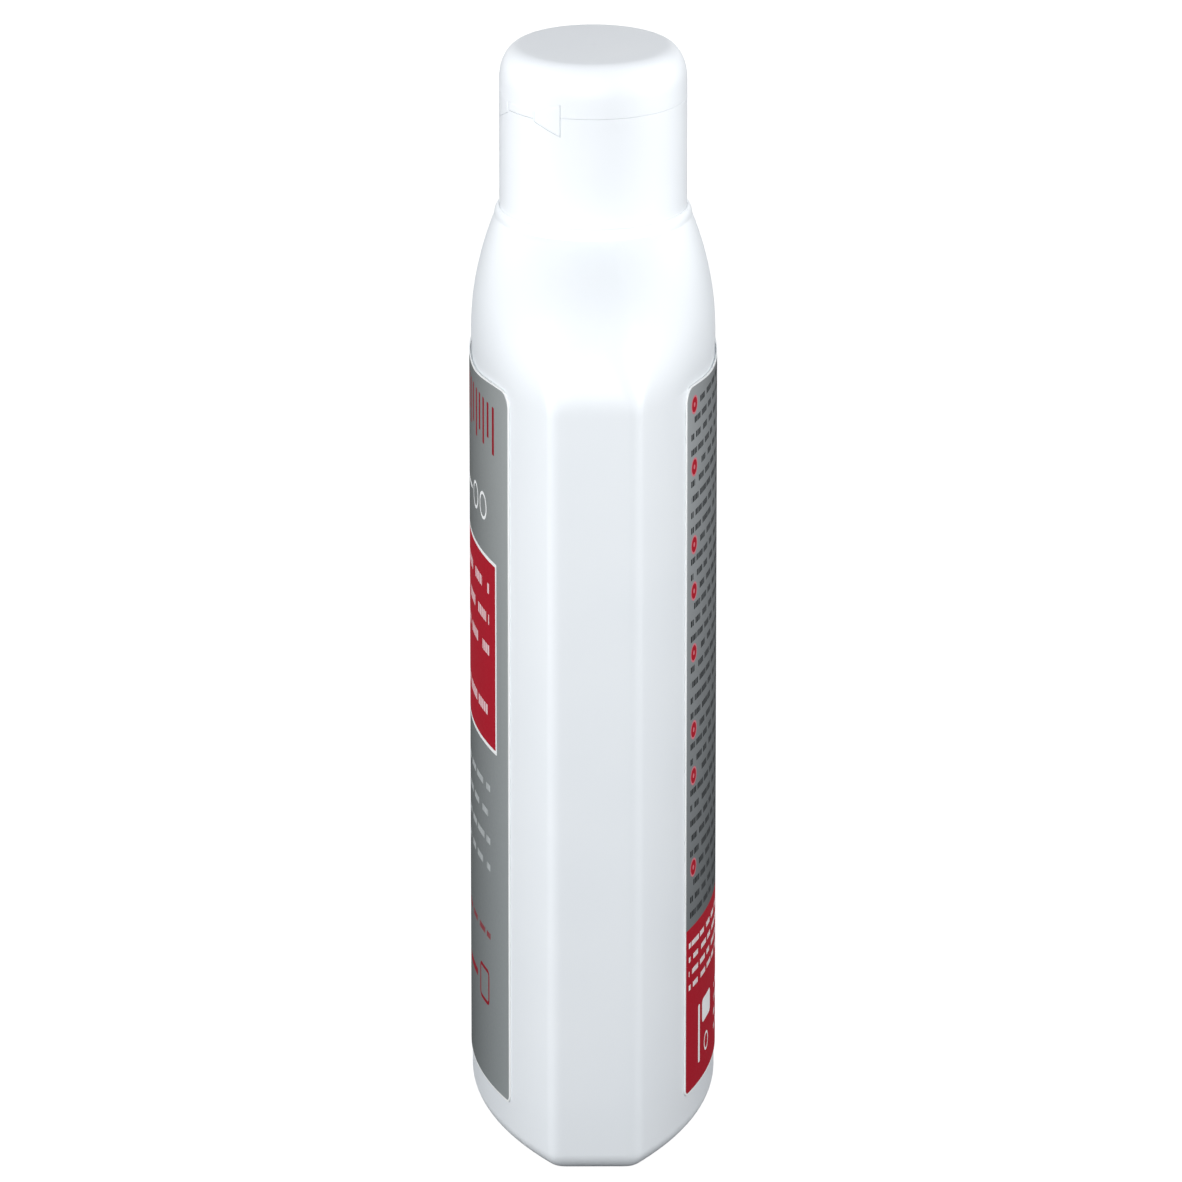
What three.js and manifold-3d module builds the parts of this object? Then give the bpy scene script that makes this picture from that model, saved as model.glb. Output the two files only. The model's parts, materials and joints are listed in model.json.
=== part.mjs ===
// A flat, lens-shaped squeeze bottle with a screw-on flip-top closure.
// Units are millimetres. +Z is up, X runs along the wide side and Y through the thickness.
// The origin is the middle of the foot. The front label faces -Y and the back label faces +Y.
import * as THREE from 'three';
import { mergeVertices } from 'three/addons/utils/BufferGeometryUtils.js';
import Module from 'manifold-3d';

const wasm = await Module();
wasm.setup();

// Driving dimensions of the bottle body
const BODY_WIDTH = 87;
const BODY_THICKNESS = 39.5;
const FACE_RADIUS = 80;
const END_EDGE_RADIUS = 3;
const LEAST_EDGE_RADIUS = 0.4;
const BODY_WALL = 1.1;
const HEEL_RADIUS = 4;
const FOOT_RING_WIDTH = 3.2;
const PUSH_UP_HEIGHT = 2.6;
const DOME_SHARES = [0.3, 0.62, 0.88];

// Driving dimensions of the shoulder and of the rim at its top
const SHOULDER_START = 127.2;
const SHOULDER_HEIGHT = 19.2;
const SHOULDER_TUCK = 0.6;
const TUCK_LENGTH = 2.6;
const TUCK_FADE_Y = 6;
const TUCK_FULL_Y = 14;
const STEP_HEIGHT = 0.25;
const SHOULDER_END_RADIUS = 11;
const END_ROUNDING_LENGTH = 9;
const RIM_OVERHANG = 0.6;
const RIM_FLARE = 0.65;
const RIM_HEIGHT = 1.1;
const RIM_EDGE = 0.35;

// The shoulder stays full low down and closes in fast near its top
const SHOULDER_RISE_POWER = 1.3;
const SHOULDER_FALL_POWER = 3;

// Driving dimensions of the neck and its screw thread
const NECK_WALL = 2.1;
const NECK_LIP_EDGE = 0.4;
const THREAD_PITCH = 3.175;
const THREAD_TURNS = 1.5;
const THREAD_DEPTH = 0.95;
const THREAD_ROOT_WIDTH = 1.5;
const THREAD_CREST_WIDTH = 0.7;
const THREAD_SINK = 0.3;
const THREAD_BELOW_LIP = 8.2;
const THREAD_RUN_OUT_TURNS = 0.08;

// Driving dimensions of the labels
const LABEL_BOTTOM = 7;
const LABEL_TOP_MARGIN = 0.3;
const LABEL_CORNER_RADIUS = 2.75;
const LABEL_THICKNESS = 0.15;
const LABEL_GAP = 0.1;
const FRONT_LABEL_HALF_WIDTH = 31;
const BACK_LABEL_HALF_WIDTH = 28.5;

// Driving dimensions of the closure
const CLOSURE_RADIUS = 15.05;
const CLOSURE_HEIGHT = 28.3;
const LID_HEIGHT = 8.3;
const OUTER_WALL = 1.1;
const SKIRT_SPACING = 1;
const THREADED_SKIRT_WALL = 1;
const DECK_SETBACK = 0.6;
const DECK_THICKNESS = 1.2;
const LINER_THICKNESS = 1;
const LINER_BORE_RADIUS = 5;
const SKIRT_EDGE = 0.3;
const CLOSURE_GAP = 0.3;
const THREAD_CLEARANCE = 0.3;

// Driving dimensions of the spout and of the snap ring round it
const SPOUT_ROOT_RADIUS = 4.2;
const SPOUT_TOP_RADIUS = 3;
const SPOUT_HEIGHT = 3.2;
const SPOUT_LIP_EDGE = 0.4;
const ORIFICE_RADIUS = 1.75;
const SNAP_RING_HEIGHT = 1.2;
const SNAP_RING_WALL = 1;
const SNAP_RING_GAP = 0.35;

// Driving dimensions of the lid
const LID_EDGE_REACH = 2.35;
const LID_EDGE_DEPTH = 5.2;
const LID_TOP_THICKNESS = 1.3;
const LID_INNER_CORNER = 1.2;
const PLUG_ROOT_RADIUS = 2;
const PLUG_CLEARANCE = 0.5;
const PLUG_DEPTH_IN_ORIFICE = 1.2;
const PARTING_GAP = 0.3;

// Driving dimensions of the butterfly hinge; its angles are measured round the closure
const HINGE_DIRECTION = THREE.MathUtils.degToRad(-52);
const HINGE_HALF_ANGLE = THREE.MathUtils.degToRad(12);
const WING_INNER_ANGLE = THREE.MathUtils.degToRad(13.2);
const WING_OUTER_ANGLE = THREE.MathUtils.degToRad(31);
const HINGE_FILM_THICKNESS = 0.45;
const HINGE_FILM_HEIGHT = 1.4;
const WING_THICKNESS = 0.6;
const WING_INNER_DROP = 1.2;
const WING_INNER_RISE = 0.4;
const WING_OUTER_DROP = 3.1;
const WING_OUTER_RISE = 2.2;
const WING_SLIT = 0.5;
const HINGE_CLEARANCE = 0.3;

// Driving dimensions of the thumb recess, opposite the hinge
const RECESS_HALF_ANGLE = THREE.MathUtils.degToRad(20);
const RECESS_DROP = 2.4;
const RECESS_DEPTH = 0.55;

// How finely round shapes are divided, and how far a cutter runs past what it cuts
const FACE_STEPS = 8;
const EDGE_STEPS = 3;
const HEEL_STEPS = 4;
const SHOULDER_STEPS = 11;
const ROUND_STEPS = 48;
const THREAD_STEPS_PER_TURN = 32;
const BAND_STEPS = 6;
const CORNER_STEPS = 5;
const LID_EDGE_STEPS = 7;
const OVERRUN = 0.8;

// Heights that follow from the dimensions above, up to the lid's top and then down to the neck
const SHOULDER_TOP = SHOULDER_START + SHOULDER_HEIGHT;
const LABEL_TOP = SHOULDER_START - LABEL_TOP_MARGIN;
const RIM_TOP = SHOULDER_TOP - RIM_EDGE + RIM_HEIGHT;
const CLOSURE_BOTTOM = RIM_TOP + CLOSURE_GAP;
const LID_TOP = CLOSURE_BOTTOM + CLOSURE_HEIGHT;
const PARTING = LID_TOP - LID_HEIGHT;
const BASE_TOP = PARTING - PARTING_GAP / 2;
const LID_BOTTOM = PARTING + PARTING_GAP / 2;
const DECK_TOP = PARTING - DECK_SETBACK;
const DECK_BOTTOM = DECK_TOP - DECK_THICKNESS;
const LINER_BOTTOM = DECK_BOTTOM - CLOSURE_GAP - LINER_THICKNESS;
const NECK_TOP = LINER_BOTTOM - CLOSURE_GAP;
const SPOUT_TOP = DECK_TOP + SPOUT_HEIGHT;

// Radii that follow from the closure's, inwards to the neck's bore and outwards to the rim
const WALL_BORE_RADIUS = CLOSURE_RADIUS - OUTER_WALL;
const SKIRT_OUTER_RADIUS = WALL_BORE_RADIUS - SKIRT_SPACING;
const SKIRT_BORE_RADIUS = SKIRT_OUTER_RADIUS - THREADED_SKIRT_WALL;
const LINER_RADIUS = SKIRT_BORE_RADIUS - CLOSURE_GAP;
const NECK_RADIUS = SKIRT_BORE_RADIUS - THREAD_CLEARANCE - THREAD_DEPTH;
const NECK_BORE_RADIUS = NECK_RADIUS - NECK_WALL;
const LID_FLAT_RADIUS = CLOSURE_RADIUS - LID_EDGE_REACH;
const PLUG_TIP_RADIUS = ORIFICE_RADIUS - PLUG_CLEARANCE;
const RIM_RADIUS = CLOSURE_RADIUS + RIM_OVERHANG;
const SHOULDER_TOP_RADIUS = RIM_RADIUS - RIM_FLARE;

const TAU = 2 * Math.PI;
const QUARTER = Math.PI / 2;

// Materials
function plastic(color, roughness) {
  return new THREE.MeshStandardMaterial({ color, roughness, metalness: 0 });
}

const bottlePlastic = () => plastic(0xf4f6f8, 0.42);
const closurePlastic = () => plastic(0xf8fafb, 0.35);
const labelFilm = (color) => plastic(color, 0.4);
const linerFoam = () => plastic(0xe6e6e2, 0.9);

// Building blocks

// A closed mesh from a row of loops with the same number of points, with a fan over each end.
function loft(loops) {
  const count = loops[0].length;
  const points = loops.flat();
  const faces = [];
  for (let i = 0; i < loops.length - 1; i += 1) {
    for (let j = 0; j < count; j += 1) {
      const next = (j + 1) % count;
      const a = i * count + j;
      const b = i * count + next;
      faces.push(a, b, b + count, a, b + count, a + count);
    }
  }
  const last = (loops.length - 1) * count;
  const startMiddle = points.push(middleOf(loops[0])) - 1;
  const endMiddle = points.push(middleOf(loops[loops.length - 1])) - 1;
  for (let j = 0; j < count; j += 1) {
    const next = (j + 1) % count;
    faces.push(startMiddle, next, j);
    faces.push(endMiddle, last + j, last + next);
  }
  const geometry = new THREE.BufferGeometry();
  geometry.setAttribute('position', new THREE.Float32BufferAttribute(points.flat(), 3));
  geometry.setIndex(faces);
  return geometry;
}

function middleOf(loop) {
  const sum = loop.reduce((total, p) => [total[0] + p[0], total[1] + p[1], total[2] + p[2]], [0, 0, 0]);
  return sum.map((value) => value / loop.length);
}

function polar(radius, angle, z) {
  return [radius * Math.cos(angle), radius * Math.sin(angle), z];
}

// A curved strip round the Z axis, between two heights that may change with the angle.
function band({ angles, inner, outer, low, high }) {
  return loft(angles.map((angle) => [
    polar(inner, angle, low(angle)),
    polar(inner, angle, high(angle)),
    polar(outer, angle, high(angle)),
    polar(outer, angle, low(angle)),
  ]));
}

function spread(from, to, steps) {
  return Array.from({ length: steps + 1 }, (_, i) => THREE.MathUtils.lerp(from, to, i / steps));
}

// A body of revolution about Z from [radius, height] points, closed on itself.
function turned(profile) {
  const closed = [...profile, profile[0]].map(([radius, height]) => new THREE.Vector2(radius, height));
  const geometry = new THREE.LatheGeometry(closed, ROUND_STEPS);
  geometry.rotateX(QUARTER);
  return geometry;
}

function toSolid(geometry) {
  const bare = geometry.clone();
  bare.deleteAttribute('normal');
  bare.deleteAttribute('uv');
  const merged = mergeVertices(bare);
  const mesh = new wasm.Mesh({
    numProp: 3,
    vertProperties: new Float32Array(merged.attributes.position.array),
    triVerts: new Uint32Array(merged.index.array),
  });
  const solid = new wasm.Manifold(mesh);
  if (solid.volume() > 0) {
    return solid;
  }
  const flipped = Uint32Array.from(merged.index.array);
  for (let i = 0; i < flipped.length; i += 3) {
    [flipped[i], flipped[i + 1]] = [flipped[i + 1], flipped[i]];
  }
  return new wasm.Manifold(new wasm.Mesh({
    numProp: 3,
    vertProperties: new Float32Array(merged.attributes.position.array),
    triVerts: flipped,
  }));
}

function toGeometry(solid) {
  const mesh = solid.getMesh();
  const geometry = new THREE.BufferGeometry();
  geometry.setAttribute('position', new THREE.Float32BufferAttribute(mesh.vertProperties, 3));
  geometry.setIndex(Array.from(mesh.triVerts));
  geometry.computeVertexNormals();
  return geometry;
}

function part(name, solid, material) {
  const mesh = new THREE.Mesh(toGeometry(solid), material);
  mesh.name = name;
  return mesh;
}

// A screw thread rib: it starts a little inside the wall at `root` and reaches `crest`.
function threadRib({ root, crest, middle, turns }) {
  const steps = Math.round(turns * THREAD_STEPS_PER_TURN);
  const start = root + THREAD_SINK * Math.sign(root - crest);
  return loft(spread(0, turns, steps).map((turn) => {
    const ease = Math.min(1, turn / THREAD_RUN_OUT_TURNS, (turns - turn) / THREAD_RUN_OUT_TURNS);
    const reach = THREE.MathUtils.lerp(root, crest, ease);
    const z = middle + turn * THREAD_PITCH;
    const angle = turn * TAU;
    return [
      polar(start, angle, z - THREAD_ROOT_WIDTH / 2),
      polar(start, angle, z + THREAD_ROOT_WIDTH / 2),
      polar(reach, angle, z + THREAD_CREST_WIDTH / 2),
      polar(reach, angle, z - THREAD_CREST_WIDTH / 2),
    ];
  }));
}

// Bottle

// One quarter of the body's plan: a long face arc, a small edge arc and the flat end.
// `inset` draws the plan in, and `edgeRadius` is the edge arc's radius before that.
function quarterSection(inset, edgeRadius) {
  const arcMiddleY = BODY_THICKNESS / 2 - FACE_RADIUS;
  const faceRadius = FACE_RADIUS - inset;
  const radius = Math.max(edgeRadius - inset, LEAST_EDGE_RADIUS);
  const edgeX = BODY_WIDTH / 2 - inset - radius;
  const edgeY = arcMiddleY + Math.sqrt((faceRadius - radius) ** 2 - edgeX ** 2);
  const meet = Math.atan2(edgeY - arcMiddleY, edgeX);
  const edge = spread(0, meet, EDGE_STEPS).map((angle) => (
    [edgeX + radius * Math.cos(angle), edgeY + radius * Math.sin(angle)]
  ));
  const face = spread(meet, QUARTER, FACE_STEPS).slice(1).map((angle) => (
    [faceRadius * Math.cos(angle), arcMiddleY + faceRadius * Math.sin(angle)]
  ));
  return [...edge, ...face];
}

// The whole plan at a height, anticlockwise seen from above.
function sectionLoop(inset, z, share = 1, edgeRadius = END_EDGE_RADIUS) {
  const quarter = quarterSection(inset, edgeRadius);
  const mirrored = quarter.slice(0, -1).reverse();
  const half = [...quarter, ...mirrored.map(([x, y]) => [-x, y])];
  const whole = [...half, ...half.map(([x, y]) => [-x, -y])];
  return whole.map(([x, y]) => [share * x, share * y, z]);
}

const PLAN_ANGLES = sectionLoop(0, 0).map(([x, y]) => Math.atan2(y, x));

function roundLoop(radius, z) {
  return PLAN_ANGLES.map((angle) => polar(radius, angle, z));
}

// The shoulder blends the body's plan into the neck's circle, and its flat ends into round ones.
// Just above the faces it is tucked in, which leaves them a small step at their top.
function shoulderLoop(rise, inset, drop, topRadius) {
  const fullness = (1 - rise ** SHOULDER_RISE_POWER) ** (1 / SHOULDER_FALL_POWER);
  const z = THREE.MathUtils.lerp(SHOULDER_START, SHOULDER_TOP, rise);
  const tuck = SHOULDER_TUCK * Math.exp(-(((z - SHOULDER_START) / TUCK_LENGTH) ** 2));
  const rounding = THREE.MathUtils.smoothstep(z, SHOULDER_START, SHOULDER_START + END_ROUNDING_LENGTH);
  const edgeRadius = THREE.MathUtils.lerp(END_EDGE_RADIUS, SHOULDER_END_RADIUS, rounding);
  const body = sectionLoop(inset, z - drop, 1, edgeRadius);
  const circle = roundLoop(topRadius, z - drop);
  return body.map(([x, y], i) => {
    const onFace = THREE.MathUtils.smoothstep(Math.abs(y), TUCK_FADE_Y, TUCK_FULL_Y);
    const tucked = y - Math.sign(y) * tuck * onFace;
    return [
      THREE.MathUtils.lerp(circle[i][0], x, fullness),
      THREE.MathUtils.lerp(circle[i][1], tucked, fullness),
      z - drop,
    ];
  });
}

function heelLoops(radius, inset, lift) {
  return spread(0, QUARTER, HEEL_STEPS).map((angle) => (
    sectionLoop(inset + radius * (1 - Math.sin(angle)), lift + radius * (1 - Math.cos(angle)))
  ));
}

// The rise of the shoulder's loops is spaced more closely near its top, where it curves most.
function shoulderRises() {
  return spread(0, 1, SHOULDER_STEPS).map((step) => Math.sin(step * QUARTER));
}

function bottleShell() {
  const footInset = HEEL_RADIUS + FOOT_RING_WIDTH;
  const domeHeight = (share) => PUSH_UP_HEIGHT * Math.sqrt(1 - share ** 2);
  const dome = DOME_SHARES.map((share) => sectionLoop(footInset, domeHeight(share), share));
  const innerDome = [...DOME_SHARES].reverse().map((share) => (
    sectionLoop(footInset, BODY_WALL + domeHeight(share), share)
  ));
  const outside = [
    ...dome,
    sectionLoop(footInset, 0),
    ...heelLoops(HEEL_RADIUS, 0, 0),
    sectionLoop(0, SHOULDER_START - STEP_HEIGHT),
    ...shoulderRises().map((rise) => shoulderLoop(rise, 0, 0, SHOULDER_TOP_RADIUS)),
    roundLoop(RIM_RADIUS - RIM_EDGE, SHOULDER_TOP),
    roundLoop(RIM_RADIUS, SHOULDER_TOP + RIM_EDGE),
    roundLoop(RIM_RADIUS - RIM_EDGE, RIM_TOP),
    roundLoop(NECK_RADIUS, RIM_TOP),
    roundLoop(NECK_RADIUS, NECK_TOP - NECK_LIP_EDGE),
    roundLoop(NECK_RADIUS - NECK_LIP_EDGE, NECK_TOP),
  ];
  const inside = [
    roundLoop(NECK_BORE_RADIUS, NECK_TOP),
    roundLoop(NECK_BORE_RADIUS, SHOULDER_TOP - BODY_WALL),
    ...shoulderRises().reverse().slice(1).map((rise) => (
      shoulderLoop(rise, BODY_WALL, BODY_WALL, SHOULDER_TOP_RADIUS - BODY_WALL)
    )),
    sectionLoop(BODY_WALL, SHOULDER_START - BODY_WALL - STEP_HEIGHT),
    ...heelLoops(HEEL_RADIUS - BODY_WALL, BODY_WALL, BODY_WALL).reverse(),
    sectionLoop(footInset, BODY_WALL),
    ...innerDome,
  ];
  return toSolid(loft([...outside, ...inside]));
}

const NECK_THREAD_START = NECK_TOP - THREAD_BELOW_LIP;

function bottle() {
  const rib = toSolid(threadRib({
    root: NECK_RADIUS,
    crest: NECK_RADIUS + THREAD_DEPTH,
    middle: NECK_THREAD_START,
    turns: THREAD_TURNS,
  }));
  return bottleShell().add(rib);
}

// Labels

// How far a label's rounded corner holds its top and bottom edges back at a distance from the middle.
function cornerSetback(distance, halfWidth) {
  const past = Math.max(0, distance - (halfWidth - LABEL_CORNER_RADIUS));
  return LABEL_CORNER_RADIUS - Math.sqrt(Math.max(0, LABEL_CORNER_RADIUS ** 2 - past ** 2));
}

// `side` is -1 for the front face and 1 for the back face.
function label(halfWidth, side) {
  const straight = halfWidth - LABEL_CORNER_RADIUS;
  const corner = spread(0, QUARTER, CORNER_STEPS).map((angle) => (
    straight + LABEL_CORNER_RADIUS * Math.sin(angle)
  ));
  const across = [...corner].reverse().map((x) => -x);
  across.push(...spread(-straight, straight, 2 * FACE_STEPS).slice(1, -1), ...corner);
  const arcMiddleY = BODY_THICKNESS / 2 - FACE_RADIUS;
  const inner = FACE_RADIUS + LABEL_GAP;
  const outer = inner + LABEL_THICKNESS;
  return toSolid(loft(across.map((x) => {
    const angle = Math.acos(x / FACE_RADIUS);
    const setback = cornerSetback(Math.abs(x), halfWidth);
    const at = (radius, z) => [radius * Math.cos(angle), side * (arcMiddleY + radius * Math.sin(angle)), z];
    return [
      at(inner, LABEL_BOTTOM + setback),
      at(inner, LABEL_TOP - setback),
      at(outer, LABEL_TOP - setback),
      at(outer, LABEL_BOTTOM + setback),
    ];
  })));
}

// Closure, built with its hinge towards +X and turned as one group

const widenAngle = (clearance) => clearance / CLOSURE_RADIUS;

function wingShare(angle) {
  return (Math.abs(angle) - WING_INNER_ANGLE) / (WING_OUTER_ANGLE - WING_INNER_ANGLE);
}

function wingLow(angle) {
  return PARTING - THREE.MathUtils.lerp(WING_INNER_DROP, WING_OUTER_DROP, wingShare(angle));
}

function wingHigh(angle) {
  return PARTING + THREE.MathUtils.lerp(WING_INNER_RISE, WING_OUTER_RISE, wingShare(angle));
}

// `side` is 1 or -1: the two wings mirror each other.
function wing(side) {
  return toSolid(band({
    angles: spread(side * WING_INNER_ANGLE, side * WING_OUTER_ANGLE, BAND_STEPS),
    inner: CLOSURE_RADIUS - WING_THICKNESS,
    outer: CLOSURE_RADIUS,
    low: wingLow,
    high: wingHigh,
  }));
}

function wingWindow(side) {
  const from = WING_INNER_ANGLE - widenAngle(HINGE_CLEARANCE);
  const to = WING_OUTER_ANGLE + widenAngle(WING_SLIT);
  return toSolid(band({
    angles: spread(side * from, side * to, BAND_STEPS),
    inner: WALL_BORE_RADIUS - OVERRUN / 2,
    outer: CLOSURE_RADIUS + OVERRUN,
    low: (angle) => wingLow(angle) - HINGE_CLEARANCE,
    high: (angle) => wingHigh(angle) + HINGE_CLEARANCE,
  }));
}

function hingeFilm() {
  return toSolid(band({
    angles: spread(-HINGE_HALF_ANGLE, HINGE_HALF_ANGLE, BAND_STEPS),
    inner: CLOSURE_RADIUS - HINGE_FILM_THICKNESS,
    outer: CLOSURE_RADIUS,
    low: () => PARTING - HINGE_FILM_HEIGHT / 2,
    high: () => PARTING + HINGE_FILM_HEIGHT / 2,
  }));
}

function hingeFilmSeat() {
  const reach = HINGE_HALF_ANGLE + widenAngle(HINGE_CLEARANCE);
  const half = HINGE_FILM_HEIGHT / 2 + HINGE_CLEARANCE;
  return toSolid(band({
    angles: spread(-reach, reach, BAND_STEPS),
    inner: CLOSURE_RADIUS - HINGE_FILM_THICKNESS - HINGE_CLEARANCE,
    outer: CLOSURE_RADIUS + OVERRUN,
    low: () => PARTING - half,
    high: () => PARTING + half,
  }));
}

// A shallow scoop under the lid's front edge, deepest in its middle.
function thumbRecess() {
  const drop = (angle) => {
    const away = (angle - Math.PI) / RECESS_HALF_ANGLE;
    return RECESS_DROP * Math.sqrt(Math.max(0, 1 - away ** 2));
  };
  const edge = Math.PI - RECESS_HALF_ANGLE;
  return toSolid(band({
    angles: spread(edge, Math.PI + RECESS_HALF_ANGLE, 2 * BAND_STEPS),
    inner: CLOSURE_RADIUS - RECESS_DEPTH,
    outer: CLOSURE_RADIUS + OVERRUN,
    low: (angle) => BASE_TOP - drop(angle),
    high: () => BASE_TOP + OVERRUN,
  }));
}

function closureBase() {
  const ringOuter = WALL_BORE_RADIUS - SNAP_RING_GAP;
  const ringTop = PARTING + SNAP_RING_HEIGHT;
  const body = toSolid(turned([
    [ORIFICE_RADIUS, DECK_BOTTOM],
    [SKIRT_BORE_RADIUS, DECK_BOTTOM],
    [SKIRT_BORE_RADIUS, CLOSURE_BOTTOM + SKIRT_EDGE],
    [SKIRT_BORE_RADIUS + SKIRT_EDGE, CLOSURE_BOTTOM],
    [SKIRT_OUTER_RADIUS, CLOSURE_BOTTOM],
    [SKIRT_OUTER_RADIUS, DECK_BOTTOM],
    [WALL_BORE_RADIUS, DECK_BOTTOM],
    [WALL_BORE_RADIUS, CLOSURE_BOTTOM],
    [CLOSURE_RADIUS - SKIRT_EDGE, CLOSURE_BOTTOM],
    [CLOSURE_RADIUS, CLOSURE_BOTTOM + SKIRT_EDGE],
    [CLOSURE_RADIUS, BASE_TOP],
    [ringOuter, BASE_TOP],
    [ringOuter, ringTop],
    [ringOuter - SNAP_RING_WALL, ringTop],
    [ringOuter - SNAP_RING_WALL, DECK_TOP],
    [SPOUT_ROOT_RADIUS, DECK_TOP],
    [SPOUT_TOP_RADIUS, SPOUT_TOP - SPOUT_LIP_EDGE],
    [SPOUT_TOP_RADIUS - SPOUT_LIP_EDGE, SPOUT_TOP],
    [ORIFICE_RADIUS, SPOUT_TOP],
  ]));
  const rib = toSolid(threadRib({
    root: SKIRT_BORE_RADIUS,
    crest: SKIRT_BORE_RADIUS - THREAD_DEPTH,
    middle: NECK_THREAD_START - THREAD_PITCH / 2,
    turns: THREAD_TURNS,
  }).rotateZ(-HINGE_DIRECTION));
  return body.add(rib)
    .subtract(wingWindow(1))
    .subtract(wingWindow(-1))
    .subtract(hingeFilmSeat())
    .subtract(thumbRecess());
}

function lid() {
  const shell = spread(0, QUARTER, LID_EDGE_STEPS).map((angle) => [
    LID_FLAT_RADIUS + LID_EDGE_REACH * Math.cos(angle),
    LID_TOP - LID_EDGE_DEPTH + LID_EDGE_DEPTH * Math.sin(angle),
  ]);
  const ceiling = LID_TOP - LID_TOP_THICKNESS;
  const innerRim = LID_FLAT_RADIUS - OUTER_WALL / 2;
  const plugTip = SPOUT_TOP - PLUG_DEPTH_IN_ORIFICE;
  const body = toSolid(turned([
    [CLOSURE_RADIUS, LID_BOTTOM],
    ...shell,
    [0, LID_TOP],
    [0, plugTip],
    [PLUG_TIP_RADIUS, plugTip],
    [PLUG_TIP_RADIUS, SPOUT_TOP + CLOSURE_GAP],
    [PLUG_ROOT_RADIUS, ceiling],
    [innerRim - LID_INNER_CORNER, ceiling],
    [innerRim, ceiling - LID_INNER_CORNER],
    [WALL_BORE_RADIUS, LID_TOP - LID_EDGE_DEPTH],
    [WALL_BORE_RADIUS, LID_BOTTOM],
  ]));
  return body.subtract(wingWindow(1)).subtract(wingWindow(-1)).subtract(hingeFilmSeat());
}

function sealLiner() {
  return toSolid(turned([
    [LINER_BORE_RADIUS, LINER_BOTTOM],
    [LINER_RADIUS, LINER_BOTTOM],
    [LINER_RADIUS, LINER_BOTTOM + LINER_THICKNESS],
    [LINER_BORE_RADIUS, LINER_BOTTOM + LINER_THICKNESS],
  ]));
}

// Assembly
const object = new THREE.Group();
object.add(
  part('bottle', bottle(), bottlePlastic()),
  part('front_label', label(FRONT_LABEL_HALF_WIDTH, -1), labelFilm(0x8f9495)),
  part('back_label', label(BACK_LABEL_HALF_WIDTH, 1), labelFilm(0x6c7072)),
);

const closure = new THREE.Group();
closure.rotation.z = HINGE_DIRECTION;
closure.add(
  part('seal_liner', sealLiner(), linerFoam()),
  part('closure_base', closureBase(), closurePlastic()),
  part('lid', lid(), closurePlastic()),
  part('hinge_film', hingeFilm(), closurePlastic()),
  part('hinge_wing_left', wing(-1), closurePlastic()),
  part('hinge_wing_right', wing(1), closurePlastic()),
);
object.add(closure);

export default object;
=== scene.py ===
import json
import math

import bmesh
import bpy
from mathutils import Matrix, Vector


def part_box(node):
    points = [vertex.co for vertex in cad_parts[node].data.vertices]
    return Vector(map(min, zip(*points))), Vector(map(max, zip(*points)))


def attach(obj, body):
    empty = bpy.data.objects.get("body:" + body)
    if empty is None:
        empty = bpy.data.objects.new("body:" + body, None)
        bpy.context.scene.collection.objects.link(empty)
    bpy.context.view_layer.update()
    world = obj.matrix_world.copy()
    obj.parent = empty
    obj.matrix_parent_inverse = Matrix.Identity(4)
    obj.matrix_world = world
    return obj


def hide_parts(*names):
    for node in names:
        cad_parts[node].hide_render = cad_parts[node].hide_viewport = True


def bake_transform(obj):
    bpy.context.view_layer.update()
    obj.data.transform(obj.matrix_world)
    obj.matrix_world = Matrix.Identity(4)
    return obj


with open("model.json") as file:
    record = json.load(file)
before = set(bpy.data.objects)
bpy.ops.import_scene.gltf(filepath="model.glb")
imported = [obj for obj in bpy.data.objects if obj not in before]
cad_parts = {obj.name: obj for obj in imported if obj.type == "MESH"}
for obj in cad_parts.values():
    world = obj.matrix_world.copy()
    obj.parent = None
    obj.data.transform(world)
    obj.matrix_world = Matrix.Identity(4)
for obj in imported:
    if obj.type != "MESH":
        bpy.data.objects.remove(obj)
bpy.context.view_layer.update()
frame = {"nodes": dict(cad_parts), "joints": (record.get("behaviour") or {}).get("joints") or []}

# The view: the bottle seen on its narrow end, from a little above, through a long lens
CAMERA_DISTANCE = 1.9
CAMERA_ELEVATION = math.radians(18.197)
CAMERA_YAW = math.radians(0.359)
CAMERA_LENS_MM = 357.3
CAMERA_SENSOR_MM = 36
CAMERA_AIM = Vector((0, -0.00035, 0.0839))

towards_camera = Vector((
    math.cos(CAMERA_ELEVATION) * math.cos(CAMERA_YAW),
    -math.cos(CAMERA_ELEVATION) * math.sin(CAMERA_YAW),
    math.sin(CAMERA_ELEVATION),
))
camera_data = bpy.data.cameras.new("studio_camera")
camera_data.lens = CAMERA_LENS_MM
camera_data.sensor_width = CAMERA_SENSOR_MM
camera = bpy.data.objects.new("studio_camera", camera_data)
camera.location = CAMERA_AIM + CAMERA_DISTANCE * towards_camera
camera.rotation_euler = towards_camera.to_track_quat("Z", "Y").to_euler()
bpy.context.collection.objects.link(camera)
bpy.context.scene.camera = camera
bpy.context.scene.view_settings.view_transform = "Standard"


# Studio light: wide soft boxes round the camera's side of the bottle, one behind it, and a weak
# even fill. A lamp's bearing is measured from the camera's side, positive towards the right.
def add_node(tree, kind, inputs=None, **settings):
    """Adds a node with its settings, and sets or links its inputs."""
    node = tree.nodes.new(kind)
    for name, value in settings.items():
        setattr(node, name, value)
    for name, value in (inputs or {}).items():
        if isinstance(value, bpy.types.NodeSocket):
            tree.links.new(value, node.inputs[name])
        else:
            node.inputs[name].default_value = value
    return node


def linear(hex_colour):
    """The linear colour of an sRGB hex value."""
    channels = [int(hex_colour[start:start + 2], 16) / 255 for start in (1, 3, 5)]
    return [c / 12.92 if c <= 0.04045 else ((c + 0.055) / 1.055) ** 2.4 for c in channels] + [1]


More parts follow.
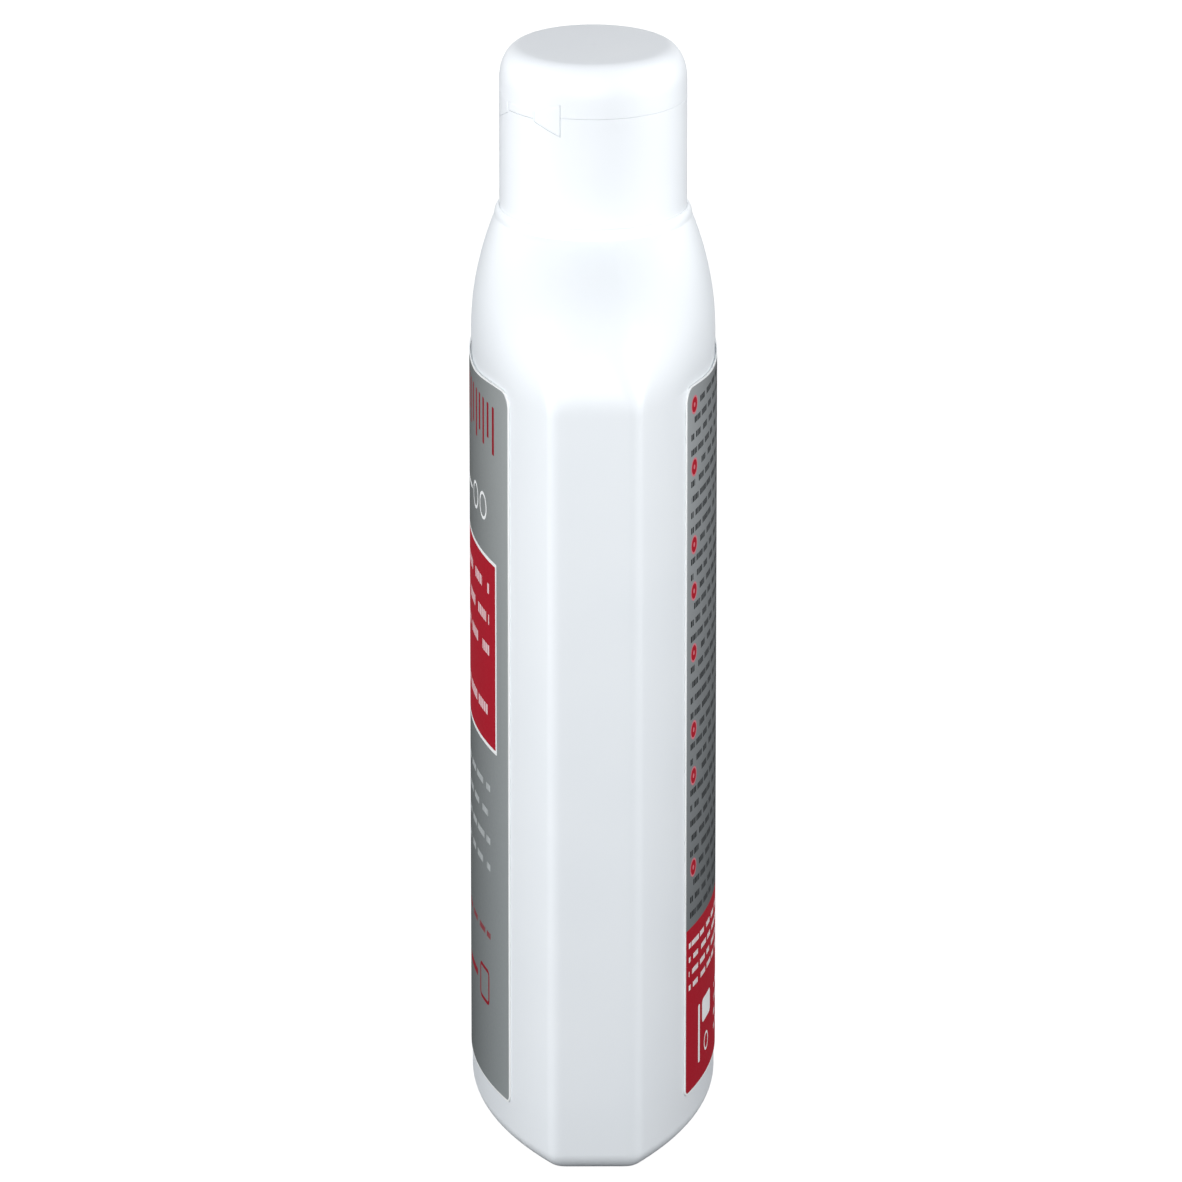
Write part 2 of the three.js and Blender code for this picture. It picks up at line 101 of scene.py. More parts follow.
LAMP_TARGET = Vector((0, 0, 0.14))
LAMP_SIZE = 0.4
LAMPS = {
    "front_box": {"bearing": -5, "elevation": 13, "distance": 0.6, "power": 2.04},
    "front_upper_box": {"bearing": -5, "elevation": 42, "distance": 0.8, "power": 0.95},
    "left_upper_box": {"bearing": -85, "elevation": 20, "distance": 0.55, "power": 1.42},
    "left_lower_box": {"bearing": -75, "elevation": 8, "distance": 0.6, "power": 0.9},
    "right_upper_box": {"bearing": 85, "elevation": 20, "distance": 0.4, "power": 1.3},
    "right_lower_box": {"bearing": 75, "elevation": 8, "distance": 0.6, "power": 0.2},
    "far_box": {"bearing": 178, "elevation": 4, "distance": 0.7, "power": 1.1},
}
FILL_STRENGTH = 0.1
FILL_COLOUR = linear("#E2ECFF")
WHITE = linear("#FFFFFF")

for lamp_name, lamp in LAMPS.items():
    bearing = math.radians(lamp["bearing"])
    elevation = math.radians(lamp["elevation"])
    towards_lamp = Vector((
        math.cos(elevation) * math.cos(bearing),
        math.cos(elevation) * math.sin(bearing),
        math.sin(elevation),
    ))
    lamp_data = bpy.data.lights.new(lamp_name, "AREA")
    lamp_data.shape = "DISK"
    lamp_data.size = LAMP_SIZE
    lamp_data.energy = lamp["power"]
    lamp_object = bpy.data.objects.new(lamp_name, lamp_data)
    lamp_object.location = LAMP_TARGET + lamp["distance"] * towards_lamp
    lamp_object.rotation_euler = towards_lamp.to_track_quat("Z", "Y").to_euler()
    lamp_object.visible_camera = False
    bpy.context.collection.objects.link(lamp_object)
# The box behind lights the far end, but would lie as a bright patch on the lid's flat top
bpy.data.objects["far_box"].visible_glossy = False

world = bpy.data.worlds.new("white_studio")
world.use_nodes = True
bpy.context.scene.world = world
sky = world.node_tree
sky.nodes.clear()
rays = add_node(sky, "ShaderNodeLightPath")
seen = add_node(sky, "ShaderNodeMath", {
    0: rays.outputs["Is Camera Ray"],
    1: rays.outputs["Is Glossy Ray"],
}, operation="MAXIMUM")
seen_or_through = add_node(sky, "ShaderNodeMath", {
    0: seen.outputs[0],
    1: rays.outputs["Is Transmission Ray"],
}, operation="MAXIMUM")
fill = add_node(sky, "ShaderNodeBackground", {"Color": FILL_COLOUR, "Strength": FILL_STRENGTH})
backdrop = add_node(sky, "ShaderNodeBackground", {"Color": WHITE, "Strength": 1})
sky_mix = add_node(sky, "ShaderNodeMixShader", {
    0: seen_or_through.outputs[0],
    1: fill.outputs[0],
    2: backdrop.outputs[0],
})
add_node(sky, "ShaderNodeOutputWorld", {"Surface": sky_mix.outputs[0]})

# The floor is a sheet of grey card: its glow, which only the camera sees, makes it white and
# meets the white backdrop without a line, and it still darkens round the bottle's foot.
FLOOR_SIZE = 6
FLOOR_CLEARANCE = 0.0001
FLOOR_CARD = "#6E7072"
FLOOR_GLOW_NEAR = 0.95
FLOOR_GLOW_FAR = 1
FLOOR_GLOW_REACH = 0.9

bpy.ops.object.select_all(action="DESELECT")
bpy.ops.mesh.primitive_plane_add(size=FLOOR_SIZE, location=(0, 0, -FLOOR_CLEARANCE))
floor = bpy.context.object
floor.name = "studio_floor"
card = bpy.data.materials.new("studio_card")
card.use_nodes = True
card_tree = card.node_tree
card_tree.nodes.clear()
card_rays = add_node(card_tree, "ShaderNodeLightPath")
card_matt = add_node(card_tree, "ShaderNodeBsdfDiffuse", {"Color": linear(FLOOR_CARD)})
card_place = add_node(card_tree, "ShaderNodeTexCoord").outputs["Object"]
card_reach = add_node(card_tree, "ShaderNodeVectorMath", {0: card_place}, operation="LENGTH")
card_strength = add_node(card_tree, "ShaderNodeMapRange", {
    "Value": card_reach.outputs["Value"],
    "From Max": FLOOR_GLOW_REACH,
    "To Min": FLOOR_GLOW_NEAR,
    "To Max": FLOOR_GLOW_FAR,
})
card_glow = add_node(card_tree, "ShaderNodeEmission", {
    "Color": WHITE,
    "Strength": card_strength.outputs[0],
})
card_seen = add_node(card_tree, "ShaderNodeAddShader", {
    0: card_matt.outputs[0],
    1: card_glow.outputs[0],
})
card_mix = add_node(card_tree, "ShaderNodeMixShader", {
    0: card_rays.outputs["Is Camera Ray"],
    1: card_matt.outputs[0],
    2: card_seen.outputs[0],
})
add_node(card_tree, "ShaderNodeOutputMaterial", {"Surface": card_mix.outputs[0]})
card.cycles.emission_sampling = "NONE"
floor.data.materials.append(card)


# The bottle: one blow-moulded shell of white polyethylene. Its plan is two long arcs and two
# narrow flat ends, its shoulder draws that plan into a round rim, and its neck has a thread.
BOTTLE_LOW, BOTTLE_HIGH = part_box("bottle")
CLOSURE_LOW, CLOSURE_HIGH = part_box("closure_base")
TAU = 2 * math.pi
QUARTER = math.pi / 2
HALF_WIDTH = BOTTLE_HIGH[0]
HALF_THICKNESS = BOTTLE_HIGH[1]
FACE_RADIUS = 0.080
FACE_MIDDLE_Y = HALF_THICKNESS - FACE_RADIUS
END_EDGE_RADIUS = 0.003
LEAST_EDGE_RADIUS = 0.0022
WALL = 0.0011
HEEL_RADIUS = 0.0029
FOOT_RING_WIDTH = 0.0043
PUSH_UP_HEIGHT = 0.0026
SHOULDER_START = 0.1267
SHOULDER_TOP = 0.1476
STEP_HEIGHT = 0.00025
SHOULDER_TUCK = 0.00022
TUCK_LENGTH = 0.0022
TUCK_FADE_Y = 0.0125
TUCK_FULL_Y = 0.017
SHOULDER_END_RADIUS = 0.011
END_ROUNDING_LENGTH = 0.012
FACE_DIP = 0.0017
FACE_DIP_START = 0.008
FACE_DIP_REACH = 0.030
FACE_DIP_RISE = 0.35
END_RISE_POWER = 2.4
END_FALL_POWER = 1.4
FACE_RISE_POWER = 2.1
COLLAR_RADIUS = 0.0159
COLLAR_BORE_RADIUS = 0.01512
COLLAR_TOP = 0.1493
COLLAR_STEPS = 8
RIM_EDGE = 0.0004
RIM_TOP = CLOSURE_LOW[2] - 0.0003
NECK_RADIUS = 0.0107
NECK_BORE_RADIUS = 0.0086
NECK_TOP = BOTTLE_HIGH[2]
NECK_LIP_EDGE = 0.0005
THREAD_PITCH = 0.003175
THREAD_TURNS = 1.5
THREAD_DEPTH = 0.00095
THREAD_ROOT_WIDTH = 0.0015
THREAD_CREST_WIDTH = 0.0007
THREAD_SINK = 0.0003
THREAD_BELOW_LIP = 0.0082
END_STEPS = 4
EDGE_STEPS = 8
FACE_STEPS = 22
SHOULDER_STEPS = 64
BODY_STEPS = 12
HEEL_STEPS = 10
DOME_STEPS = 12
THREAD_STEPS = 96
MERGE_DISTANCE = 1e-6
SMOOTH_BELOW = math.radians(32)


def mix(start, end, share):
    return start + (end - start) * share


def smooth(value, start, end):
    """0 before start, 1 after end, and an even S between them."""
    share = min(1, max(0, (value - start) / (end - start)))
    return share * share * (3 - 2 * share)


def plan(inset=0, edge_radius=END_EDGE_RADIUS):
    """The body's outline, drawn in by the inset, from the middle of the +X end right round."""
    face_radius = FACE_RADIUS - inset
    radius = max(edge_radius - inset, LEAST_EDGE_RADIUS)
    edge_x = HALF_WIDTH - inset - radius
    edge_y = FACE_MIDDLE_Y + math.sqrt((face_radius - radius) ** 2 - edge_x ** 2)
    meet = math.atan2(edge_y - FACE_MIDDLE_Y, edge_x)
    quarter = [(edge_x + radius, edge_y * step / END_STEPS) for step in range(END_STEPS)]
    for step in range(EDGE_STEPS):
        angle = meet * step / EDGE_STEPS
        quarter.append((edge_x + radius * math.cos(angle), edge_y + radius * math.sin(angle)))
    for step in range(FACE_STEPS):
        angle = mix(meet, QUARTER, step / FACE_STEPS)
        quarter.append((
            face_radius * math.cos(angle),
            FACE_MIDDLE_Y + face_radius * math.sin(angle),
        ))
    crest = [(0, FACE_MIDDLE_Y + face_radius)]
    half = quarter + crest + [(-x, y) for x, y in reversed(quarter[1:])]
    return half + [(-x, -y) for x, y in half]


PLAN_TURNS = [math.atan2(y, x) for x, y in plan()]


def plan_ring(z, inset=0, share=1):
    return [(share * x, share * y, z) for x, y in plan(inset)]


def round_ring(z, radius):
    return [(radius * math.cos(turn), radius * math.sin(turn), z) for turn in PLAN_TURNS]


def face_dip(x):
    """How far the shoulder's foot and the label's top sag in the middle of each long face."""
    return FACE_DIP * (1 - smooth(abs(x), FACE_DIP_START, FACE_DIP_REACH))


def dipped(ring, share=1):
    return [(x, y, z - share * face_dip(x)) for x, y, z in ring]


def shoulder_ring(rise, inset=0, drop=0):
    """The shoulder at a share of its rise: the body's plan passes into the rim's circle."""
    end_share = (1 - rise ** END_RISE_POWER) ** (1 / END_FALL_POWER)
    face_share = 1 - rise ** FACE_RISE_POWER
    z = mix(SHOULDER_START, SHOULDER_TOP, rise)
    tuck = SHOULDER_TUCK * math.exp(-((z - SHOULDER_START) / TUCK_LENGTH) ** 2)
    rounding = smooth(z, SHOULDER_START, SHOULDER_START + END_ROUNDING_LENGTH)
    body = plan(inset, mix(END_EDGE_RADIUS, SHOULDER_END_RADIUS, rounding))
    circle = round_ring(z - drop, COLLAR_RADIUS - inset)
    ring = []
    for (x, y), (round_x, round_y, height) in zip(body, circle):
        tucked = y - math.copysign(tuck * smooth(abs(y), TUCK_FADE_Y, TUCK_FULL_Y), y)
        ring.append((mix(round_x, x, end_share), mix(round_y, tucked, face_share), height))
    return dipped(ring, 1 - smooth(rise, 0, FACE_DIP_RISE))


def heel_rings(radius, inset, lift):
    rings = []
    for step in range(HEEL_STEPS + 1):
        angle = QUARTER * step / HEEL_STEPS
        height = lift + radius * (1 - math.cos(angle))
        rings.append(plan_ring(height, inset + radius * (1 - math.sin(angle))))
    return rings


def dome_rings(lift):
    """The pushed-up bottom, from near its middle out to the foot."""
    rings = []
    for step in range(1, DOME_STEPS):
        angle = QUARTER * step / DOME_STEPS
        height = lift + PUSH_UP_HEIGHT * math.cos(angle)
        rings.append(plan_ring(height, HEEL_RADIUS + FOOT_RING_WIDTH, math.sin(angle)))
    return rings


def shoulder_rises():
    """Shares of the shoulder's height, closer together near its foot and its rim."""
    return [
        (1 - math.cos(math.pi * step / SHOULDER_STEPS)) / 2
        for step in range(SHOULDER_STEPS + 1)
    ]


def collar_rings():
    """The collar round the closure's foot: a quarter round that leans over to the closure."""
    rings = []
    for step in range(COLLAR_STEPS + 1):
        angle = QUARTER * step / COLLAR_STEPS
        reach = (COLLAR_RADIUS - COLLAR_BORE_RADIUS) * math.cos(angle)
        rise = (COLLAR_TOP - SHOULDER_TOP) * math.sin(angle)
        rings.append(round_ring(SHOULDER_TOP + rise, COLLAR_BORE_RADIUS + reach))
    return rings[1:]


def bottle_rings():
    """Every ring of the shell, up its outside from the bottom's middle and down its inside."""
    wall_top = SHOULDER_START - STEP_HEIGHT
    shares = [step / BODY_STEPS for step in range(1, BODY_STEPS + 1)]
    body_heights = [mix(HEEL_RADIUS, wall_top, share) for share in shares]
    inner_heights = [mix(HEEL_RADIUS, wall_top - WALL, share) for share in shares]
    outside = dome_rings(0)
    outside.append(plan_ring(0, HEEL_RADIUS + FOOT_RING_WIDTH))
    outside += heel_rings(HEEL_RADIUS, 0, 0)
    outside += [plan_ring(height) for height in body_heights[:-1]]
    outside.append(dipped(plan_ring(wall_top)))
    outside += [shoulder_ring(rise) for rise in shoulder_rises()]
    outside += [
        *collar_rings(),
        round_ring(RIM_TOP, COLLAR_BORE_RADIUS),
        round_ring(RIM_TOP, NECK_RADIUS + RIM_EDGE),
        round_ring(RIM_TOP + RIM_EDGE, NECK_RADIUS),
        round_ring(NECK_TOP - NECK_LIP_EDGE, NECK_RADIUS),
        round_ring(NECK_TOP - NECK_LIP_EDGE / 3, NECK_RADIUS - NECK_LIP_EDGE / 3),
        round_ring(NECK_TOP, NECK_RADIUS - NECK_LIP_EDGE),
    ]
    inside = [
        round_ring(NECK_TOP, NECK_BORE_RADIUS),
        round_ring(RIM_TOP - WALL, NECK_BORE_RADIUS),
    ]
    inside += [shoulder_ring(rise, WALL, WALL) for rise in reversed(shoulder_rises()[:-1])]
    inside.append(dipped(plan_ring(wall_top - WALL, WALL)))
    inside += [plan_ring(height, WALL) for height in reversed(inner_heights[:-1])]
    inside += list(reversed(heel_rings(HEEL_RADIUS - WALL, WALL, WALL)))
    inside.append(plan_ring(WALL, HEEL_RADIUS + FOOT_RING_WIDTH))
    inside += list(reversed(dome_rings(WALL)))
    return outside + inside


def extrude_ring(piece, ring):
    """Extrudes the selected ring and puts its new points on the next one, in order round Z."""
    bpy.ops.mesh.extrude_region_move()
    place_ring(piece, ring)


def place_ring(piece, ring):
    half_step = PLAN_TURNS[1] / 2
    shape = bmesh.from_edit_mesh(piece.data)
    chosen = [vertex for vertex in shape.verts if vertex.select]
    chosen.sort(key=lambda vertex: (math.atan2(vertex.co.y, vertex.co.x) + half_step) % TAU)
    for vertex, place in zip(chosen, ring):
        vertex.co = place
    bmesh.update_edit_mesh(piece.data)


def close_mesh():
    """Merges doubled points of the mesh in edit mode and turns its faces outwards."""
    bpy.ops.mesh.select_all(action="SELECT")
    bpy.ops.mesh.remove_doubles(threshold=MERGE_DISTANCE)
    bpy.ops.mesh.normals_make_consistent(inside=False)
    bpy.ops.object.mode_set(mode="OBJECT")


def select_only(piece):
    bpy.ops.object.select_all(action="DESELECT")
    piece.select_set(True)
    bpy.context.view_layer.objects.active = piece


def apply_modifier(piece, kind, **settings):
    select_only(piece)
    modifier = piece.modifiers.new(kind.lower(), kind)
    for name, value in settings.items():
        setattr(modifier, name, value)
    bpy.ops.object.modifier_apply(modifier=modifier.name)


def finish_piece(piece, body, nodes, material):
    """Smooths the piece, gives it its finish, and seats it on its body in place of its nodes."""
    select_only(piece)
    bpy.ops.object.shade_smooth_by_angle(angle=SMOOTH_BELOW)
    piece.data.materials.clear()
    piece.data.materials.append(material)
    if body:
        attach(piece, body)
    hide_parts(*nodes)


def thread_rib(name, root, crest, start_angle, middle):
    """A screw thread: one trapezoid face, wound up about the Z axis."""
    sink = root - math.copysign(THREAD_SINK, crest - root)
    corners = (
        (sink, -THREAD_ROOT_WIDTH / 2),
        (sink, THREAD_ROOT_WIDTH / 2),
        (crest, THREAD_CREST_WIDTH / 2),
        (crest, -THREAD_CREST_WIDTH / 2),
    )
    bpy.ops.object.select_all(action="DESELECT")
    bpy.ops.mesh.primitive_plane_add(size=THREAD_PITCH)
    rib = bpy.context.object
    rib.name = name
    bpy.ops.object.mode_set(mode="EDIT")
    shape = bmesh.from_edit_mesh(rib.data)
    face = list(shape.faces)[0]
    for vertex, (radius, height) in zip(list(face.verts), corners):
        vertex.co = (
            radius * math.cos(start_angle),
            radius * math.sin(start_angle),
            middle + height,
        )
    bmesh.update_edit_mesh(rib.data)
    bpy.ops.object.mode_set(mode="OBJECT")
    apply_modifier(
        rib, "SCREW", axis="Z", angle=TAU * THREAD_TURNS, screw_offset=THREAD_PITCH * THREAD_TURNS,
        steps=THREAD_STEPS, render_steps=THREAD_STEPS, use_merge_vertices=False,
    )
    select_only(rib)
    bpy.ops.object.mode_set(mode="EDIT")
    close_mesh()
    return rib


def join_into(piece, extra):
    select_only(piece)
    extra.select_set(True)
    bpy.ops.object.join()


rings = bottle_rings()
bpy.ops.object.select_all(action="DESELECT")
bpy.ops.mesh.primitive_circle_add(vertices=len(PLAN_TURNS), radius=HALF_THICKNESS)
bottle = bpy.context.object
bottle.name = "blown_bottle"
bpy.ops.object.mode_set(mode="EDIT")
bpy.ops.mesh.select_all(action="SELECT")
place_ring(bottle, rings[0])
for ring in rings[1:]:
    extrude_ring(bottle, ring)
bpy.ops.mesh.edge_face_add()
bpy.ops.mesh.select_all(action="DESELECT")
bpy.ops.mesh.select_non_manifold()
bpy.ops.mesh.edge_face_add()
close_mesh()
neck_thread = thread_rib(
    "neck_thread", NECK_RADIUS, NECK_RADIUS + THREAD_DEPTH, 0, NECK_TOP - THREAD_BELOW_LIP,
)
join_into(bottle, neck_thread)


# Blow-moulded polyethylene: a waxy white with the fine grain of a blasted mould, so that its
# highlights are broad and soft. Its walls wander by hundredths of a millimetre. The real grain
# is some 0.05 mm wide, and is drawn at 0.6 mm so that it shows.
GLOSS_SPREAD = 0.05


def moulded_plastic(name, colour, shade, ior, roughness, grain, grain_depth, wander, wander_depth):
    material = bpy.data.materials.new(name)
    material.use_nodes = True
    tree = material.node_tree
    surface = tree.nodes["Principled BSDF"]
    surface.inputs["IOR"].default_value = ior
    place = add_node(tree, "ShaderNodeTexCoord").outputs["Object"]
    fine = add_node(tree, "ShaderNodeTexNoise", {
        "Vector": place,
        "Scale": 1 / grain,
        "Detail": 2,
    })
    broad = add_node(tree, "ShaderNodeTexNoise", {
        "Vector": place,
        "Scale": 1 / wander,
        "Detail": 1,
    })
    tint = add_node(tree, "ShaderNodeMix", {
        0: broad.outputs[0],
        6: linear(colour),
        7: linear(shade),
    }, data_type="RGBA")
    gloss = add_node(tree, "ShaderNodeMapRange", {
        "Value": fine.outputs[0],
        "To Min": roughness - GLOSS_SPREAD,
        "To Max": roughness + GLOSS_SPREAD,
    })
    wandering = add_node(tree, "ShaderNodeBump", {
        "Height": broad.outputs[0],
        "Distance": wander_depth,
        "Strength": 1,
    })
    grained = add_node(tree, "ShaderNodeBump", {
        "Height": fine.outputs[0],
        "Distance": grain_depth,
        "Strength": 1,
        "Normal": wandering.outputs[0],
    })
    tree.links.new(tint.outputs[2], surface.inputs["Base Color"])
    tree.links.new(gloss.outputs[0], surface.inputs["Roughness"])
    tree.links.new(grained.outputs[0], surface.inputs["Normal"])
    return material


polyethylene = moulded_plastic(
    "blown_polyethylene", "#F4F8FB", "#EFF4F8", ior=1.54, roughness=0.42,
    grain=0.0006, grain_depth=0.000004, wander=0.018, wander_depth=0.00006,
)
finish_piece(bottle, "bottle", ["bottle"], polyethylene)


# The labels: two printed plastic films glued to the long faces, with rounded corners and a
# thin white margin. The print is plain generic work: panels, rules, rings and rows of dashes.
LABEL_GAP = 0.00002
LABEL_THICKNESS = 0.00018
LABEL_CORNER_RADIUS = 0.00275
LABEL_FOOT_CORNER_RADIUS = 0.0012
LABEL_CORNER_STEPS = 8
LABEL_COLUMNS = 48
MARGIN_WIDTH = 0.0003
SILVER_SHINE = 0.25
SILVER_MOTTLE = 0.03
# How the ground's colour is painted darker where the eye skims along the film: painted shade for
# the flakes' reflection
FLOP_START = 0.62
FLOP_PAINTED_SHADE = 0.3
# Between these heights the ground is painted darker towards the foot: painted shade for the light
# falling off down the bottle
PAINTED_SHADE_FOOT_Z = 0.035
PAINTED_SHADE_TOP_Z = 0.115
CRIMSON = "#A91B2B"
DEEP_CRIMSON = "#8F1626"
PINK = "#CF7882"
PRINT_WHITE = "#F2F4F4"
PRINT_ROSE = "#E8C9CC"
PRINT_BLACK = "#1F2122"
PRINT_GREY = "#BCC1C2"
DASH_BREAK = 0.75
DASH_SHARE = 0.76
SHORTEST_WORD = 0.55
LONGEST_WORD = 0.92
SHORTEST_ROW = 0.72
FILM_IOR = 1.5
FILM_SPECULAR = 0.04
FILM_LEAST_ROUGHNESS = 0.42
FILM_MOST_ROUGHNESS = 0.54
FLAKE_GRAIN = 0.0005
FLAKE_DEPTH = 0.000003


def label_film(name, node, outwards):
    """A flat sheet with rounded corners, cut into columns and laid on its face of the bottle."""
    low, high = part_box(node)
    middle = (low[2] + high[2]) / 2
    bpy.ops.object.select_all(action="DESELECT")
    bpy.ops.mesh.primitive_plane_add(size=1, rotation=(QUARTER, 0, 0))
    film = bpy.context.object
    film.name = name
    film.scale = (high[0] - low[0], high[2] - low[2], 1)
    film.location = (0, 0, middle)
    bpy.ops.object.transform_apply(location=True, rotation=True, scale=True)
    bpy.ops.object.mode_set(mode="EDIT")
    for upper, radius in ((True, LABEL_CORNER_RADIUS), (False, LABEL_FOOT_CORNER_RADIUS)):
        bpy.ops.mesh.select_all(action="DESELECT")
        shape = bmesh.from_edit_mesh(film.data)
        for vertex in shape.verts:
            vertex.select_set((vertex.co.z > middle) == upper)
        bmesh.update_edit_mesh(film.data)
        bpy.ops.mesh.bevel(affect="VERTICES", offset=radius, segments=LABEL_CORNER_STEPS)
    for column in range(1, LABEL_COLUMNS):
        x = mix(low[0], high[0], column / LABEL_COLUMNS)
        bpy.ops.mesh.select_all(action="SELECT")
        bpy.ops.mesh.bisect(plane_co=(x, 0, 0), plane_no=(1, 0, 0))
    shape = bmesh.from_edit_mesh(film.data)
    face_radius = FACE_RADIUS + LABEL_GAP
    for vertex in shape.verts:
        vertex.co.y = outwards * (FACE_MIDDLE_Y + math.sqrt(face_radius ** 2 - vertex.co.x ** 2))
        if vertex.co.z > middle:
            vertex.co.z -= face_dip(vertex.co.x)
    bmesh.update_edit_mesh(film.data)
    if outwards > 0:
        bpy.ops.mesh.select_all(action="SELECT")
        bpy.ops.mesh.flip_normals()
    bpy.ops.object.mode_set(mode="OBJECT")
    apply_modifier(film, "SOLIDIFY", thickness=LABEL_THICKNESS, offset=1)
    return film


def from_block(tree, place, left, right, bottom, top, corner):
    """How far a point lies outside a block drawn in by its corner radius.

    The block's own edge is where this equals the corner radius.
    """
    middle = ((left + right) / 2, 0, (bottom + top) / 2)
    half = ((right - left) / 2 - corner, 1, (top - bottom) / 2 - corner)
    moved = add_node(tree, "ShaderNodeVectorMath", {0: place, 1: middle}, operation="SUBTRACT")
    folded = add_node(tree, "ShaderNodeVectorMath", {0: moved.outputs[0]}, operation="ABSOLUTE")
    past = add_node(tree, "ShaderNodeVectorMath", {
        0: folded.outputs[0],
        1: half,
    }, operation="SUBTRACT")
    outside = add_node(tree, "ShaderNodeVectorMath", {
        0: past.outputs[0],
        1: (0, 0, 0),
    }, operation="MAXIMUM")
    away = add_node(tree, "ShaderNodeVectorMath", {0: outside.outputs[0]}, operation="LENGTH")
    return away.outputs["Value"]


def block(tree, place, left, right, bottom, top, corner=0.0002):
    """1 inside a rectangle with rounded corners."""
    away = from_block(tree, place, left, right, bottom, top, corner)
    return add_node(tree, "ShaderNodeMath", {0: away, 1: corner}, operation="LESS_THAN").outputs[0]


def rule_round(tree, place, left, right, bottom, top, corner, width):
    """1 on a line of that width, centred on a rectangle's edge."""
    away = from_block(tree, place, left, right, bottom, top, corner)
    return add_node(tree, "ShaderNodeMath", {
        0: away,
        1: corner,
        2: width / 2,
    }, operation="COMPARE").outputs[0]


def ring_mark(tree, place, x, z, radius, width):
    """1 on a ring; a width of twice the radius fills it."""
    away = add_node(tree, "ShaderNodeVectorMath", {0: place, 1: (x, 0, z)}, operation="DISTANCE")
    return add_node(tree, "ShaderNodeMath", {
        0: away.outputs["Value"],
        1: radius - width / 2,
        2: width / 2,
    }, operation="COMPARE").outputs[0]


def dash_rows(tree, place, start, end, bottom, top, pitch, weight, word, seed):
    """1 on rows of broken dashes that begin at start and end raggedly before end.

    The weight is the height of the dashes, and a word is the usual length of one.
    """
    def fed(kind, *values, **settings):
        """The result of a node whose inputs take the values in order."""
        return add_node(tree, kind, dict(enumerate(values)), **settings).outputs[0]

    parts = add_node(tree, "ShaderNodeSeparateXYZ", {0: place})
    heading = math.copysign(1, end - start)
    width = abs(end - start)
    along = fed(
        "ShaderNodeMath", parts.outputs[0], heading, -heading * start, operation="MULTIPLY_ADD",
    )
    level = fed(
        "ShaderNodeMath", parts.outputs[2], 1 / pitch, seed - bottom / pitch,
        operation="MULTIPLY_ADD",
    )
    row = fed("ShaderNodeMath", level, operation="FLOOR")
    height = fed("ShaderNodeMath", level, operation="FRACT")
    inked = fed("ShaderNodeMath", height, 0.5, weight / pitch / 2, operation="COMPARE")
    chance = add_node(
        tree, "ShaderNodeTexWhiteNoise", {"W": row}, noise_dimensions="1D",
    ).outputs["Value"]
    words = fed("ShaderNodeMath", along, 1 / word, chance, operation="MULTIPLY_ADD")
    count = fed("ShaderNodeMath", words, operation="FLOOR")
    spot = fed("ShaderNodeCombineXYZ", count, row)
    length = fed("ShaderNodeMapRange", add_node(
        tree, "ShaderNodeTexWhiteNoise", {"Vector": spot}, noise_dimensions="2D",
    ).outputs["Value"], 0, 1, SHORTEST_WORD, LONGEST_WORD)
    through = fed("ShaderNodeMath", words, operation="FRACT")
    in_word = fed("ShaderNodeMath", through, length, operation="LESS_THAN")
    dashes = fed("ShaderNodeMath", along, DASH_BREAK * weight, operation="DIVIDE")
    dash = fed("ShaderNodeMath", dashes, operation="FRACT")
    in_dash = fed("ShaderNodeMath", dash, DASH_SHARE, operation="LESS_THAN")
    reach = fed("ShaderNodeMapRange", chance, 0, 1, width, SHORTEST_ROW * width)
    in_row = fed("ShaderNodeMath", along, reach, operation="LESS_THAN")
    in_block = block(tree, place, min(start, end), max(start, end), bottom, top)
    ink = inked
    for part in (in_word, in_dash, in_row, in_block):
        ink = fed("ShaderNodeMath", ink, part, operation="MULTIPLY")
    return ink
